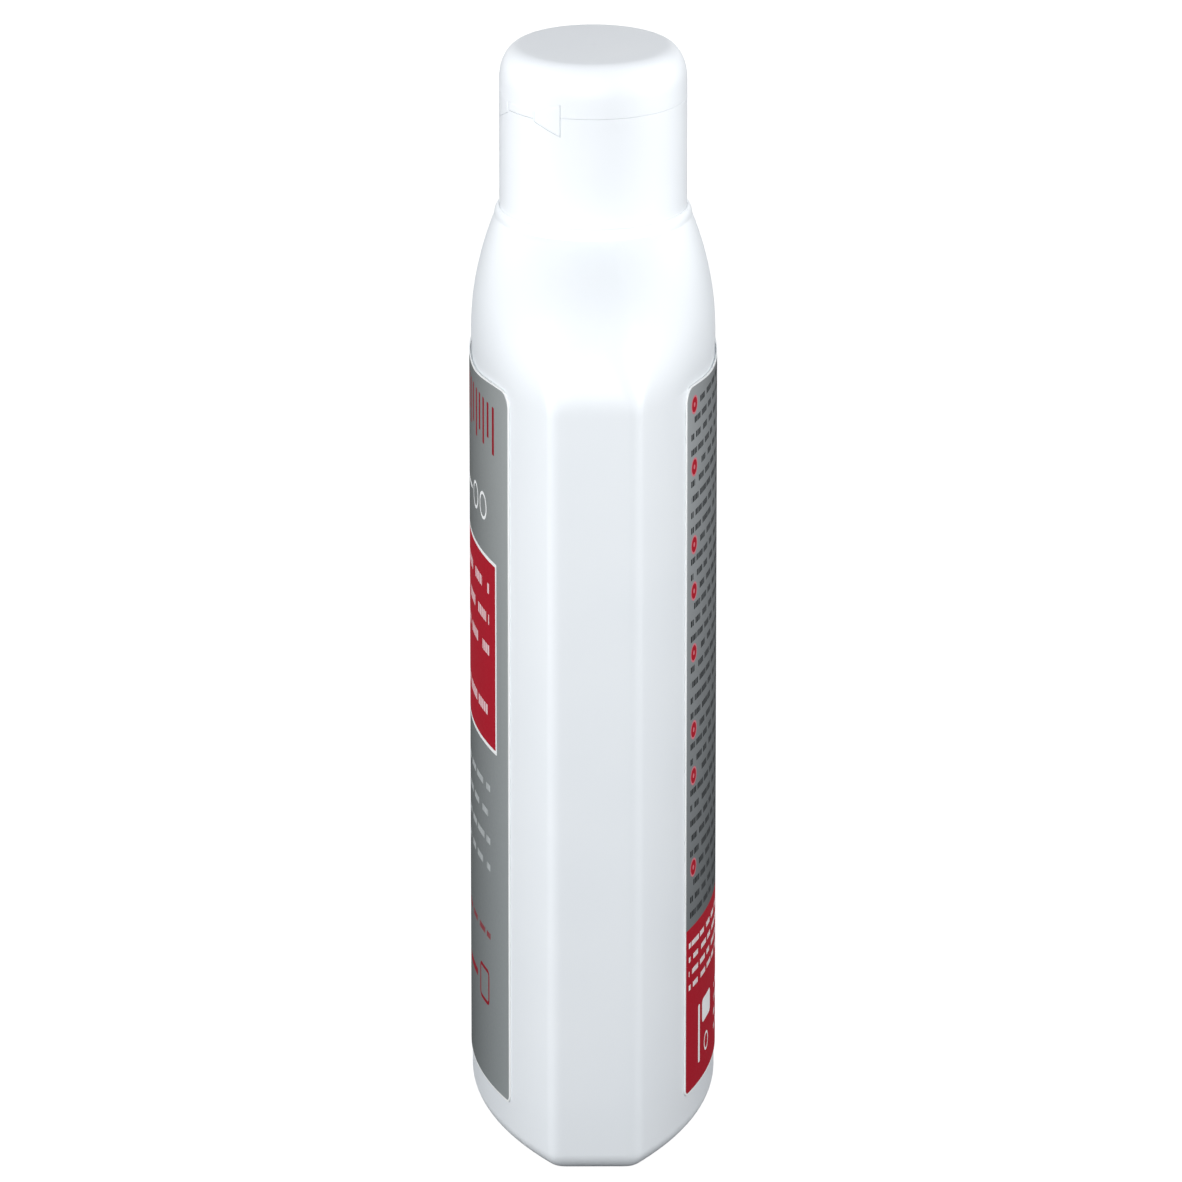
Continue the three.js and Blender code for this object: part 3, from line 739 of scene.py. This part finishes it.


# Printed film: the ground is a silver ink, whose fine flakes shine like dull metal, and the colours
# on it are matt and even.
# The ground's colour is painted darker where the eye skims along the film, painted shade in place
# of the flakes' reflection turning away, and painted darker towards the foot, painted shade for the
# light falling off down the bottle. The real flakes are hundredths of a millimetre wide, and are
# drawn at half a millimetre so that they show.
def printed_film(name, painted_lit_ground, painted_shaded_ground, draw):
    """draw(tree, place) gives the inks in the order they are laid down, each with its mask."""
    material = bpy.data.materials.new(name)
    material.use_nodes = True
    tree = material.node_tree
    surface = tree.nodes["Principled BSDF"]
    surface.inputs["IOR"].default_value = FILM_IOR
    surface.inputs["Specular IOR Level"].default_value = FILM_SPECULAR
    coordinates = add_node(tree, "ShaderNodeTexCoord").outputs["Object"]
    place = add_node(tree, "ShaderNodeVectorMath", {
        0: coordinates,
        1: (1, 0, 1),
    }, operation="MULTIPLY").outputs[0]
    mottle = add_node(tree, "ShaderNodeTexNoise", {
        "Vector": coordinates,
        "Scale": 1 / FLAKE_GRAIN,
        "Detail": 3,
    })
    # Painted shade: the colour is darkened by the facing angle, in place of the flakes' reflection
    # turning away
    slant = add_node(tree, "ShaderNodeLayerWeight", {"Blend": 0.5}).outputs["Facing"]
    uneven = add_node(tree, "ShaderNodeMath", {
        0: mottle.outputs[0],
        1: SILVER_MOTTLE,
        2: slant,
    }, operation="MULTIPLY_ADD")
    flop_painted_shade = add_node(tree, "ShaderNodeMapRange", {
        "Value": uneven.outputs[0],
        "From Min": FLOP_START,
        "To Min": 1,
        "To Max": FLOP_PAINTED_SHADE,
    })
    # Painted shade: the ground runs from its painted shaded tone at the foot to its lit tone higher
    # up
    level = add_node(tree, "ShaderNodeMapRange", {
        "Value": add_node(tree, "ShaderNodeSeparateXYZ", {0: place}).outputs[2],
        "From Min": PAINTED_SHADE_FOOT_Z,
        "From Max": PAINTED_SHADE_TOP_Z,
    })
    shade_painted_ground = add_node(tree, "ShaderNodeMix", {
        0: level.outputs[0],
        6: linear(painted_shaded_ground),
        7: linear(painted_lit_ground),
    }, data_type="RGBA")
    colour = add_node(tree, "ShaderNodeVectorMath", {
        0: shade_painted_ground.outputs[2],
        "Scale": flop_painted_shade.outputs[0],
    }, operation="SCALE").outputs[0]
    bare = add_node(tree, "ShaderNodeValue").outputs[0]
    bare.default_value = SILVER_SHINE
    for mask, ink in draw(tree, place):
        colour = add_node(tree, "ShaderNodeMix", {
            0: mask,
            6: colour,
            7: linear(ink),
        }, data_type="RGBA").outputs[2]
        bare = add_node(tree, "ShaderNodeMix", {0: mask, 2: bare, 3: 0}).outputs[0]
    gloss = add_node(tree, "ShaderNodeMapRange", {
        "Value": mottle.outputs[0],
        "To Min": FILM_LEAST_ROUGHNESS,
        "To Max": FILM_MOST_ROUGHNESS,
    })
    tooth = add_node(tree, "ShaderNodeBump", {
        "Height": mottle.outputs[0],
        "Distance": FLAKE_DEPTH,
        "Strength": 1,
    })
    tree.links.new(colour, surface.inputs["Base Color"])
    tree.links.new(bare, surface.inputs["Metallic"])
    tree.links.new(gloss.outputs[0], surface.inputs["Roughness"])
    tree.links.new(tooth.outputs[0], surface.inputs["Normal"])
    return material


def margin(tree, place, node):
    """1 along the film's edge; the raised copy of the place follows the sag of its top."""
    low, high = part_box(node)
    left = low[0] + MARGIN_WIDTH
    right = high[0] - MARGIN_WIDTH
    middle = (low[2] + high[2]) / 2
    overlap = 2 * LABEL_CORNER_RADIUS
    parts = add_node(tree, "ShaderNodeSeparateXYZ", {0: place})
    away = add_node(tree, "ShaderNodeMath", {0: parts.outputs[0]}, operation="ABSOLUTE")
    dip = add_node(tree, "ShaderNodeMapRange", {
        "Value": away.outputs[0],
        "From Min": FACE_DIP_START,
        "From Max": FACE_DIP_REACH,
        "To Min": FACE_DIP,
        "To Max": 0,
    }, interpolation_type="SMOOTHSTEP")
    lift = add_node(tree, "ShaderNodeCombineXYZ", {2: dip.outputs[0]})
    raised = add_node(tree, "ShaderNodeVectorMath", {0: place, 1: lift.outputs[0]}, operation="ADD")
    lower_part = block(
        tree, place, left, right, low[2] + MARGIN_WIDTH, middle + overlap,
        LABEL_FOOT_CORNER_RADIUS - MARGIN_WIDTH,
    )
    upper_part = block(
        tree, raised.outputs[0], left, right, middle - overlap, high[2] - MARGIN_WIDTH,
        LABEL_CORNER_RADIUS - MARGIN_WIDTH,
    )
    inside = add_node(tree, "ShaderNodeMath", {0: lower_part, 1: upper_part}, operation="MAXIMUM")
    return add_node(tree, "ShaderNodeMath", {
        0: 1,
        1: inside.outputs[0],
    }, operation="SUBTRACT").outputs[0]


# The front print: a crimson panel with a white keyline, strokes and rings above it, and rows of
# dashes and a frame below it. Each mark is a tuple of what its function takes after the place.
FRONT_STROKES = (
    (0.0245, 0.1147), (0.0217, 0.1168), (0.0190, 0.1150), (0.0164, 0.1165), (0.0138, 0.1147),
    (0.0107, 0.1162), (0.0076, 0.1150), (0.0046, 0.1165), (0.0016, 0.1147),
)
FRONT_STROKE_TOP = 0.1227
FRONT_STROKE_HALF = 0.0005
FRONT_RINGS = ((0.0186, 0.1045, 0.0023, 0.0005), (0.0128, 0.1045, 0.0023, 0.0005))
FRONT_RULE = (-0.0220, 0.0090, 0.1042, 0.1048)
FRONT_PANEL = (-0.0260, 0.0260, 0.0646, 0.0968)
KEYLINE = 0.0006
FRONT_ROWS = (
    ((0.0222, -0.0225, 0.0785, 0.0941, 0.0052, 0.0017, 0.0085, 12), PRINT_ROSE),
    ((0.0212, -0.0225, 0.0682, 0.0734, 0.0052, 0.0017, 0.0085, 40), PRINT_ROSE),
    ((0.0225, -0.0225, 0.0420, 0.0600, 0.0045, 0.0011, 0.0060, 23), PRINT_GREY),
    ((0.0225, -0.0100, 0.0310, 0.0340, 0.0030, 0.0010, 0.0060, 29), DEEP_CRIMSON),
)
FRONT_FRAME = (0.0160, 0.0215, 0.0205, 0.0260, 0.0008, 0.0006)
FRONT_BAR = (0.0040, 0.0135, 0.0226, 0.0238)


def front_print(tree, place):
    left, right, low, high = FRONT_PANEL
    strokes = [
        block(tree, place, x - FRONT_STROKE_HALF, x + FRONT_STROKE_HALF, foot, FRONT_STROKE_TOP)
        for x, foot in FRONT_STROKES
    ]
    panel = block(tree, place, left + KEYLINE, right - KEYLINE, low + KEYLINE, high - KEYLINE)
    return [
        *[(stroke, DEEP_CRIMSON) for stroke in strokes],
        *[(ring_mark(tree, place, *ring), PRINT_WHITE) for ring in FRONT_RINGS],
        (block(tree, place, *FRONT_RULE), PRINT_WHITE),
        (block(tree, place, *FRONT_PANEL), PRINT_WHITE),
        (panel, CRIMSON),
        *[(dash_rows(tree, place, *rows), ink) for rows, ink in FRONT_ROWS],
        (rule_round(tree, place, *FRONT_FRAME), DEEP_CRIMSON),
        (block(tree, place, *FRONT_BAR), DEEP_CRIMSON),
        (margin(tree, place, "front_label"), PRINT_WHITE),
    ]


front_label = label_film("front_label_film", "front_label", -1)
# The ground's two tones: its lit tone at the top and its painted shade at the foot
front_film = printed_film("silver_printed_film", "#ABB0B0", "#9FA5A6", front_print)
finish_piece(front_label, "bottle", ["front_label"], front_film)


# The back print: groups of small dark rows, each with a crimson dot at its start, over a
# crimson foot with white rows and marks
BACK_FOOT_TOP = 0.0353
BACK_PITCH = 0.0026
BACK_WEIGHT = 0.00105
BACK_WORD = 0.0042
BACK_GROUP_ROWS = (4, 6, 3, 5, 4, 3, 5, 4)
BACK_START = 0.0265
DOT_RADIUS = 0.00155
BACK_WHITE_ROWS = (
    (0.0270, -0.0260, 0.0240, 0.0336, 0.0024, 0.0009, 0.0045, 7),
    (0.0080, -0.0240, 0.0105, 0.0200, 0.0024, 0.0009, 0.0050, 11),
)
BACK_WHITE_BLOCKS = (
    (0.0130, 0.0195, 0.0165, 0.0205, 0.0008),
    (0.0210, 0.0220, 0.0105, 0.0205, 0.0004),
)
BACK_WHITE_RING = (0.0165, 0.0125, 0.0016, 0.0004)


def back_print(tree, place):
    low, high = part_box("back_label")
    inks = [(block(tree, place, low[0], high[0], low[2], BACK_FOOT_TOP), CRIMSON)]
    bottom = BACK_FOOT_TOP + BACK_PITCH / 3
    for rows in BACK_GROUP_ROWS:
        top = bottom + (rows - 1) * BACK_PITCH
        dot_z = top + BACK_PITCH / 2
        dot_x = BACK_START - DOT_RADIUS
        full_rows = (BACK_START, -BACK_START, bottom, top)
        first_row = (dot_x - 2 * DOT_RADIUS, -BACK_START, top, top + BACK_PITCH)
        print_size = (BACK_PITCH, BACK_WEIGHT, BACK_WORD)
        inks += [
            (dash_rows(tree, place, *full_rows, *print_size, 7 * rows), PRINT_BLACK),
            (dash_rows(tree, place, *first_row, *print_size, 5 * rows), PRINT_BLACK),
            (ring_mark(tree, place, dot_x, dot_z, DOT_RADIUS, 2 * DOT_RADIUS), CRIMSON),
            (ring_mark(tree, place, dot_x, dot_z, DOT_RADIUS, DOT_RADIUS / 5), PINK),
            (ring_mark(tree, place, dot_x, dot_z, DOT_RADIUS / 4, DOT_RADIUS / 2), PINK),
        ]
        bottom = top + BACK_PITCH
    white = [dash_rows(tree, place, *rows) for rows in BACK_WHITE_ROWS]
    white += [block(tree, place, *sizes) for sizes in BACK_WHITE_BLOCKS]
    white += [ring_mark(tree, place, *BACK_WHITE_RING), margin(tree, place, "back_label")]
    return inks + [(mask, PRINT_WHITE) for mask in white]


back_label = label_film("back_label_film", "back_label", 1)
# The ground's two tones: its lit tone at the top and its painted shade at the foot
back_film = printed_film("grey_printed_film", "#B1B5B7", "#84888A", back_print)
finish_piece(back_label, "bottle", ["back_label"], back_film)


# The closure base: an injection-moulded cap of white polypropylene with two walls, the inner
# one threaded, a deck with the pouring spout, and a ring that the lid snaps over.
LID_LOW, LID_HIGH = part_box("lid")
SPOUT_TOP = CLOSURE_HIGH[2]
LID_TOP = LID_HIGH[2]
CLOSURE_RADIUS = 0.01505
OUTER_WALL = 0.0011
SKIRT_BORE_RADIUS = 0.01195
SKIRT_WALL = 0.001
WALL_BORE_RADIUS = CLOSURE_RADIUS - OUTER_WALL
PARTING = LID_LOW[2] - 0.00015
PARTING_HALF_GAP = 0.00002
SEAM_GAP = 0.00004
BASE_LOW = RIM_TOP + SEAM_GAP
DECK_TOP = PARTING - 0.0006
DECK_BOTTOM = DECK_TOP - 0.0012
SPOUT_ROOT_RADIUS = 0.0042
SPOUT_TOP_RADIUS = 0.003
ORIFICE_RADIUS = 0.00175
SNAP_RING_HEIGHT = 0.0012
SNAP_RING_WALL = 0.001
SNAP_RING_GAP = 0.00035
SKIRT_EDGE = 0.00018
SEAM_EDGE = 0.00006
FINE_EDGE = 0.0002
FILLET_STEPS = 4
SUPPORT_REACH = 5
SPIN_STEPS = 192
HINGE_JOINT = next(joint for joint in frame["joints"] if joint["name"] == "lid_open")
HINGE_DIRECTION = math.atan2(HINGE_JOINT["pos_m"][1], HINGE_JOINT["pos_m"][0])
HINGE_HALF_ANGLE = math.radians(12)
WING_INNER_ANGLE = math.radians(13.2)
WING_OUTER_ANGLE = math.radians(31)
WING_INNER_DROP = 0.0012
WING_INNER_RISE = 0.0004
WING_OUTER_DROP = 0.0031
WING_OUTER_RISE = 0.0022
WING_THICKNESS = 0.0006
FILM_THICKNESS = 0.00045
FILM_HEIGHT = 0.0014
HINGE_GAP = 0.00006
HINGE_UPPER_GAP = 0.00001
WING_SLIT = 0.00011
BAND_STEPS = 24


def filleted(corners):
    """The points of a half section, with each (radius, height, fillet) corner rounded.

    A point beside each rounding keeps the shading of a long wall flat up to it.
    """
    points = []
    for index, (radius, height, fillet) in enumerate(corners):
        corner = Vector((radius, height))
        if not fillet:
            points.append(corner)
            continue
        before = Vector(corners[index - 1][:2]) - corner
        after = Vector(corners[(index + 1) % len(corners)][:2]) - corner
        first = corner + before.normalized() * fillet
        last = corner + after.normalized() * fillet
        if before.length > SUPPORT_REACH * fillet:
            points.append(corner + before.normalized() * 2 * fillet)
        for step in range(FILLET_STEPS + 1):
            share = step / FILLET_STEPS
            points.append(first.lerp(corner, share).lerp(corner.lerp(last, share), share))
        if after.length > SUPPORT_REACH * fillet:
            points.append(corner + after.normalized() * 2 * fillet)
    return points


def spun(name, points):
    """A round piece: one point extruded along its half section, then spun about the Z axis."""
    bpy.ops.object.select_all(action="DESELECT")
    bpy.ops.mesh.primitive_plane_add(size=CLOSURE_RADIUS)
    piece = bpy.context.object
    piece.name = name
    bpy.ops.object.mode_set(mode="EDIT")
    bpy.ops.mesh.select_mode(type="VERT")
    bpy.ops.mesh.select_all(action="SELECT")
    bpy.ops.mesh.merge(type="CENTER")
    bpy.ops.transform.translate(value=(points[0][0], 0, points[0][1]))
    for before, after in zip(points, points[1:]):
        move = (after[0] - before[0], 0, after[1] - before[1])
        bpy.ops.mesh.extrude_vertices_move(TRANSFORM_OT_translate={"value": move})
    bpy.ops.mesh.select_all(action="SELECT")
    bpy.ops.mesh.spin(steps=SPIN_STEPS, angle=TAU, center=(0, 0, 0), axis=(0, 0, 1))
    close_mesh()
    return piece


def curved_band(name, from_angle, to_angle, inner, outer, low, high):
    """A block bent round the closure; low and high give its edges at an angle from the hinge."""
    bpy.ops.object.select_all(action="DESELECT")
    bpy.ops.mesh.primitive_cube_add(size=1)
    band = bpy.context.object
    band.name = name
    bpy.ops.object.mode_set(mode="EDIT")
    for step in range(1, BAND_STEPS):
        bpy.ops.mesh.select_all(action="SELECT")
        bpy.ops.mesh.bisect(plane_co=(step / BAND_STEPS - 0.5, 0, 0), plane_no=(1, 0, 0))
    shape = bmesh.from_edit_mesh(band.data)
    for vertex in shape.verts:
        angle = mix(from_angle, to_angle, vertex.co.x + 0.5)
        radius = inner if vertex.co.y < 0 else outer
        height = low(angle) if vertex.co.z < 0 else high(angle)
        turn = HINGE_DIRECTION + angle
        vertex.co = (radius * math.cos(turn), radius * math.sin(turn), height)
    bmesh.update_edit_mesh(band.data)
    close_mesh()
    return band


def cut(piece, cutter):
    apply_modifier(piece, "BOOLEAN", object=cutter, operation="DIFFERENCE", solver="EXACT")
    bpy.data.objects.remove(cutter)


def wing_share(angle):
    return (abs(angle) - WING_INNER_ANGLE) / (WING_OUTER_ANGLE - WING_INNER_ANGLE)


def wing_low(angle):
    return PARTING - mix(WING_INNER_DROP, WING_OUTER_DROP, wing_share(angle))


def wing_high(angle):
    return PARTING + mix(WING_INNER_RISE, WING_OUTER_RISE, wing_share(angle))


def cut_hinge_seats(piece):
    """Cuts the two wing windows and the film's shallow seat out of the wall."""
    outside = CLOSURE_RADIUS + OUTER_WALL
    gap_angle = HINGE_GAP / CLOSURE_RADIUS
    slit_angle = WING_SLIT / CLOSURE_RADIUS
    for side in (-1, 1):
        cut(piece, curved_band(
            "wing_window",
            side * (WING_INNER_ANGLE - gap_angle), side * (WING_OUTER_ANGLE + slit_angle),
            WALL_BORE_RADIUS - OUTER_WALL / 4, outside,
            lambda angle: wing_low(angle) - HINGE_GAP,
            lambda angle: wing_high(angle) + HINGE_UPPER_GAP,
        ))
    reach = HINGE_HALF_ANGLE + gap_angle
    half = FILM_HEIGHT / 2
    cut(piece, curved_band(
        "film_seat", -reach, reach, CLOSURE_RADIUS - FILM_THICKNESS - HINGE_GAP, outside,
        lambda angle: PARTING - half - HINGE_GAP, lambda angle: PARTING + half + HINGE_UPPER_GAP,
    ))


wall_top = PARTING - PARTING_HALF_GAP
ring_outer = WALL_BORE_RADIUS - SNAP_RING_GAP
ring_top = PARTING + SNAP_RING_HEIGHT
base_section = filleted([
    (ORIFICE_RADIUS, DECK_BOTTOM, FINE_EDGE),
    (SKIRT_BORE_RADIUS, DECK_BOTTOM, FINE_EDGE),
    (SKIRT_BORE_RADIUS, BASE_LOW, FINE_EDGE),
    (SKIRT_BORE_RADIUS + SKIRT_WALL, BASE_LOW, FINE_EDGE),
    (SKIRT_BORE_RADIUS + SKIRT_WALL, DECK_BOTTOM, FINE_EDGE),
    (WALL_BORE_RADIUS, DECK_BOTTOM, FINE_EDGE),
    (WALL_BORE_RADIUS, BASE_LOW, FINE_EDGE),
    (CLOSURE_RADIUS, BASE_LOW, SKIRT_EDGE),
    (CLOSURE_RADIUS, PARTING - 2 * WING_OUTER_DROP, 0),
    (CLOSURE_RADIUS, wall_top, SEAM_EDGE),
    (ring_outer, wall_top, FINE_EDGE),
    (ring_outer, ring_top, FINE_EDGE),
    (ring_outer - SNAP_RING_WALL, ring_top, FINE_EDGE),
    (ring_outer - SNAP_RING_WALL, DECK_TOP, FINE_EDGE),
    (SPOUT_ROOT_RADIUS, DECK_TOP, 2 * FINE_EDGE),
    (SPOUT_TOP_RADIUS, SPOUT_TOP, 2 * FINE_EDGE),
    (ORIFICE_RADIUS, SPOUT_TOP, FINE_EDGE),
])
closure_base = spun("closure_shell", base_section + base_section[:1])
cut_hinge_seats(closure_base)

# The thumb recess: a shallow scoop in the wall under the lid's edge, opposite the hinge
RECESS_HALF_WIDTH = 0.0052
RECESS_DROP = 0.0024
RECESS_DEPTH = 0.00055
RECESS_SPREAD = 1.35

bpy.ops.object.select_all(action="DESELECT")
bpy.ops.mesh.primitive_uv_sphere_add(segments=64, ring_count=32, radius=1)
scoop = bpy.context.object
wall_bow = CLOSURE_RADIUS - math.sqrt(CLOSURE_RADIUS ** 2 - RECESS_HALF_WIDTH ** 2)
scoop_depth = RECESS_DEPTH + wall_bow
scoop.scale = (scoop_depth, RECESS_SPREAD * RECESS_HALF_WIDTH, RECESS_DROP)
scoop.rotation_euler = (0, 0, HINGE_DIRECTION)
scoop.location = (
    -CLOSURE_RADIUS * math.cos(HINGE_DIRECTION),
    -CLOSURE_RADIUS * math.sin(HINGE_DIRECTION),
    wall_top,
)
bpy.ops.object.transform_apply(location=True, rotation=True, scale=True)
cut(closure_base, scoop)

base_thread = thread_rib(
    "closure_thread", SKIRT_BORE_RADIUS, SKIRT_BORE_RADIUS - THREAD_DEPTH, 0,
    NECK_TOP - THREAD_BELOW_LIP - THREAD_PITCH / 2,
)
join_into(closure_base, base_thread)

# Injection-moulded polypropylene: a clean white from a finely blasted mould, so that its
# highlights are soft and even. Sink and flow leave only the faintest waviness.
polypropylene = moulded_plastic(
    "moulded_polypropylene", "#F6FAFD", "#F3F7FB", ior=1.49, roughness=0.42,
    grain=0.003, grain_depth=0.0000008, wander=0.011, wander_depth=0.000012,
)
finish_piece(closure_base, "closure", ["closure_base"], polypropylene)


# The lid: the same moulding's flip top, with a flat crown, a full round edge, and a plug under
# it that closes the spout.
LID_FLAT_RADIUS = 0.0115
LID_EDGE_DEPTH = 0.0055
LID_TOP_THICKNESS = 0.0013
LID_INNER_CORNER = 0.0012
LID_EDGE_STEPS = 18
GATE_MARK_RADIUS = 0.0006
GATE_MARK_DEPTH = 0.00015
GATE_MARK_SUPPORT = 1.2
PLUG_ROOT_RADIUS = 0.002
PLUG_TIP_RADIUS = 0.00125
PLUG_DEPTH = 0.0012

edge_reach = CLOSURE_RADIUS - LID_FLAT_RADIUS
ceiling = LID_TOP - LID_TOP_THICKNESS
inner_rim = LID_FLAT_RADIUS - OUTER_WALL / 2
lid_bottom = PARTING + PARTING_HALF_GAP
lid_crown = []
for step in range(LID_EDGE_STEPS + 1):
    angle = QUARTER * step / LID_EDGE_STEPS
    height = LID_TOP - LID_EDGE_DEPTH * (1 - math.sin(angle))
    lid_crown.append((LID_FLAT_RADIUS + edge_reach * math.cos(angle), height, 0))
lid_section = filleted([
    (WALL_BORE_RADIUS, lid_bottom, FINE_EDGE),
    (CLOSURE_RADIUS, lid_bottom, SEAM_EDGE),
    *lid_crown,
    (LID_FLAT_RADIUS / 2, LID_TOP, 0),
    (GATE_MARK_SUPPORT * GATE_MARK_RADIUS, LID_TOP, 0),
    (GATE_MARK_RADIUS, LID_TOP, 0),
    (GATE_MARK_RADIUS / 2, LID_TOP - GATE_MARK_DEPTH, 0),
    (0, LID_TOP - GATE_MARK_DEPTH, 0),
    (0, SPOUT_TOP - PLUG_DEPTH, 0),
    (PLUG_TIP_RADIUS, SPOUT_TOP - PLUG_DEPTH, FINE_EDGE),
    (PLUG_TIP_RADIUS, SPOUT_TOP + SEAM_GAP, 0),
    (PLUG_ROOT_RADIUS, ceiling, FINE_EDGE),
    (inner_rim - LID_INNER_CORNER, ceiling, FINE_EDGE),
    (inner_rim, ceiling - LID_INNER_CORNER, FINE_EDGE),
    (WALL_BORE_RADIUS, LID_TOP - LID_EDGE_DEPTH, 0),
])
lid = spun("flip_lid", lid_section + lid_section[:1])
cut_hinge_seats(lid)
finish_piece(lid, "lid", ["lid"], polypropylene)


# The butterfly hinge: a thin film and two stiffer wings beside it, shaped as they stand with the
# lid shut and seated on no body. On the real cap the film bends when the lid opens and the wings
# snap the lid over. All three are part of the same moulding.
HINGE_EDGE = 0.00006
HINGE_ROWS = 12

film_strap = curved_band(
    "hinge_strap", -HINGE_HALF_ANGLE, HINGE_HALF_ANGLE, CLOSURE_RADIUS - FILM_THICKNESS,
    CLOSURE_RADIUS,
    lambda angle: PARTING - FILM_HEIGHT / 2, lambda angle: PARTING + FILM_HEIGHT / 2,
)
hinge_pieces = [(film_strap, "hinge_film")]
for side, side_name in ((-1, "left"), (1, "right")):
    hinge_pieces.append((curved_band(
        f"wing_strap_{side_name}", side * WING_INNER_ANGLE, side * WING_OUTER_ANGLE,
        CLOSURE_RADIUS - WING_THICKNESS, CLOSURE_RADIUS, wing_low, wing_high,
    ), f"hinge_wing_{side_name}"))
for strap, node in hinge_pieces:
    apply_modifier(strap, "BEVEL", width=HINGE_EDGE, segments=2, limit_method="ANGLE")
    select_only(strap)
    bpy.ops.object.mode_set(mode="EDIT")
    for row in range(1, HINGE_ROWS):
        height = mix(PARTING - WING_OUTER_DROP, PARTING + WING_OUTER_RISE, row / HINGE_ROWS)
        bpy.ops.mesh.select_all(action="SELECT")
        bpy.ops.mesh.bisect(plane_co=(0, 0, height), plane_no=(0, 0, 1))
    bpy.ops.object.mode_set(mode="OBJECT")
    finish_piece(strap, None, [node], polypropylene)
    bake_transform(strap)


# The sealing ring: punched from foamed polyethylene sheet, and held under the deck. Its cells
# are fine and closed, so it looks matt and slightly pitted.
LINER_CELL = 0.0003
LINER_ROUGHNESS = 0.85
LINER_PIT_STRENGTH = 0.6

foam = bpy.data.materials.new("foamed_polyethylene")
foam.use_nodes = True
foam_tree = foam.node_tree
foam_surface = foam_tree.nodes["Principled BSDF"]
foam_surface.inputs["Roughness"].default_value = LINER_ROUGHNESS
foam_place = add_node(foam_tree, "ShaderNodeTexCoord").outputs["Object"]
cells = add_node(foam_tree, "ShaderNodeTexVoronoi", {"Vector": foam_place, "Scale": 1 / LINER_CELL})
foam_tint = add_node(foam_tree, "ShaderNodeMix", {
    0: cells.outputs[0],
    6: linear("#D9D9D2"),
    7: linear("#ECECE7"),
}, data_type="RGBA")
pits = add_node(foam_tree, "ShaderNodeBump", {
    "Height": cells.outputs[0],
    "Distance": LINER_CELL / 4,
    "Strength": LINER_PIT_STRENGTH,
})
foam_tree.links.new(foam_tint.outputs[2], foam_surface.inputs["Base Color"])
foam_tree.links.new(pits.outputs[0], foam_surface.inputs["Normal"])
liner = frame["nodes"]["seal_liner"]
for liner_slot in liner.material_slots:
    liner_slot.material = foam
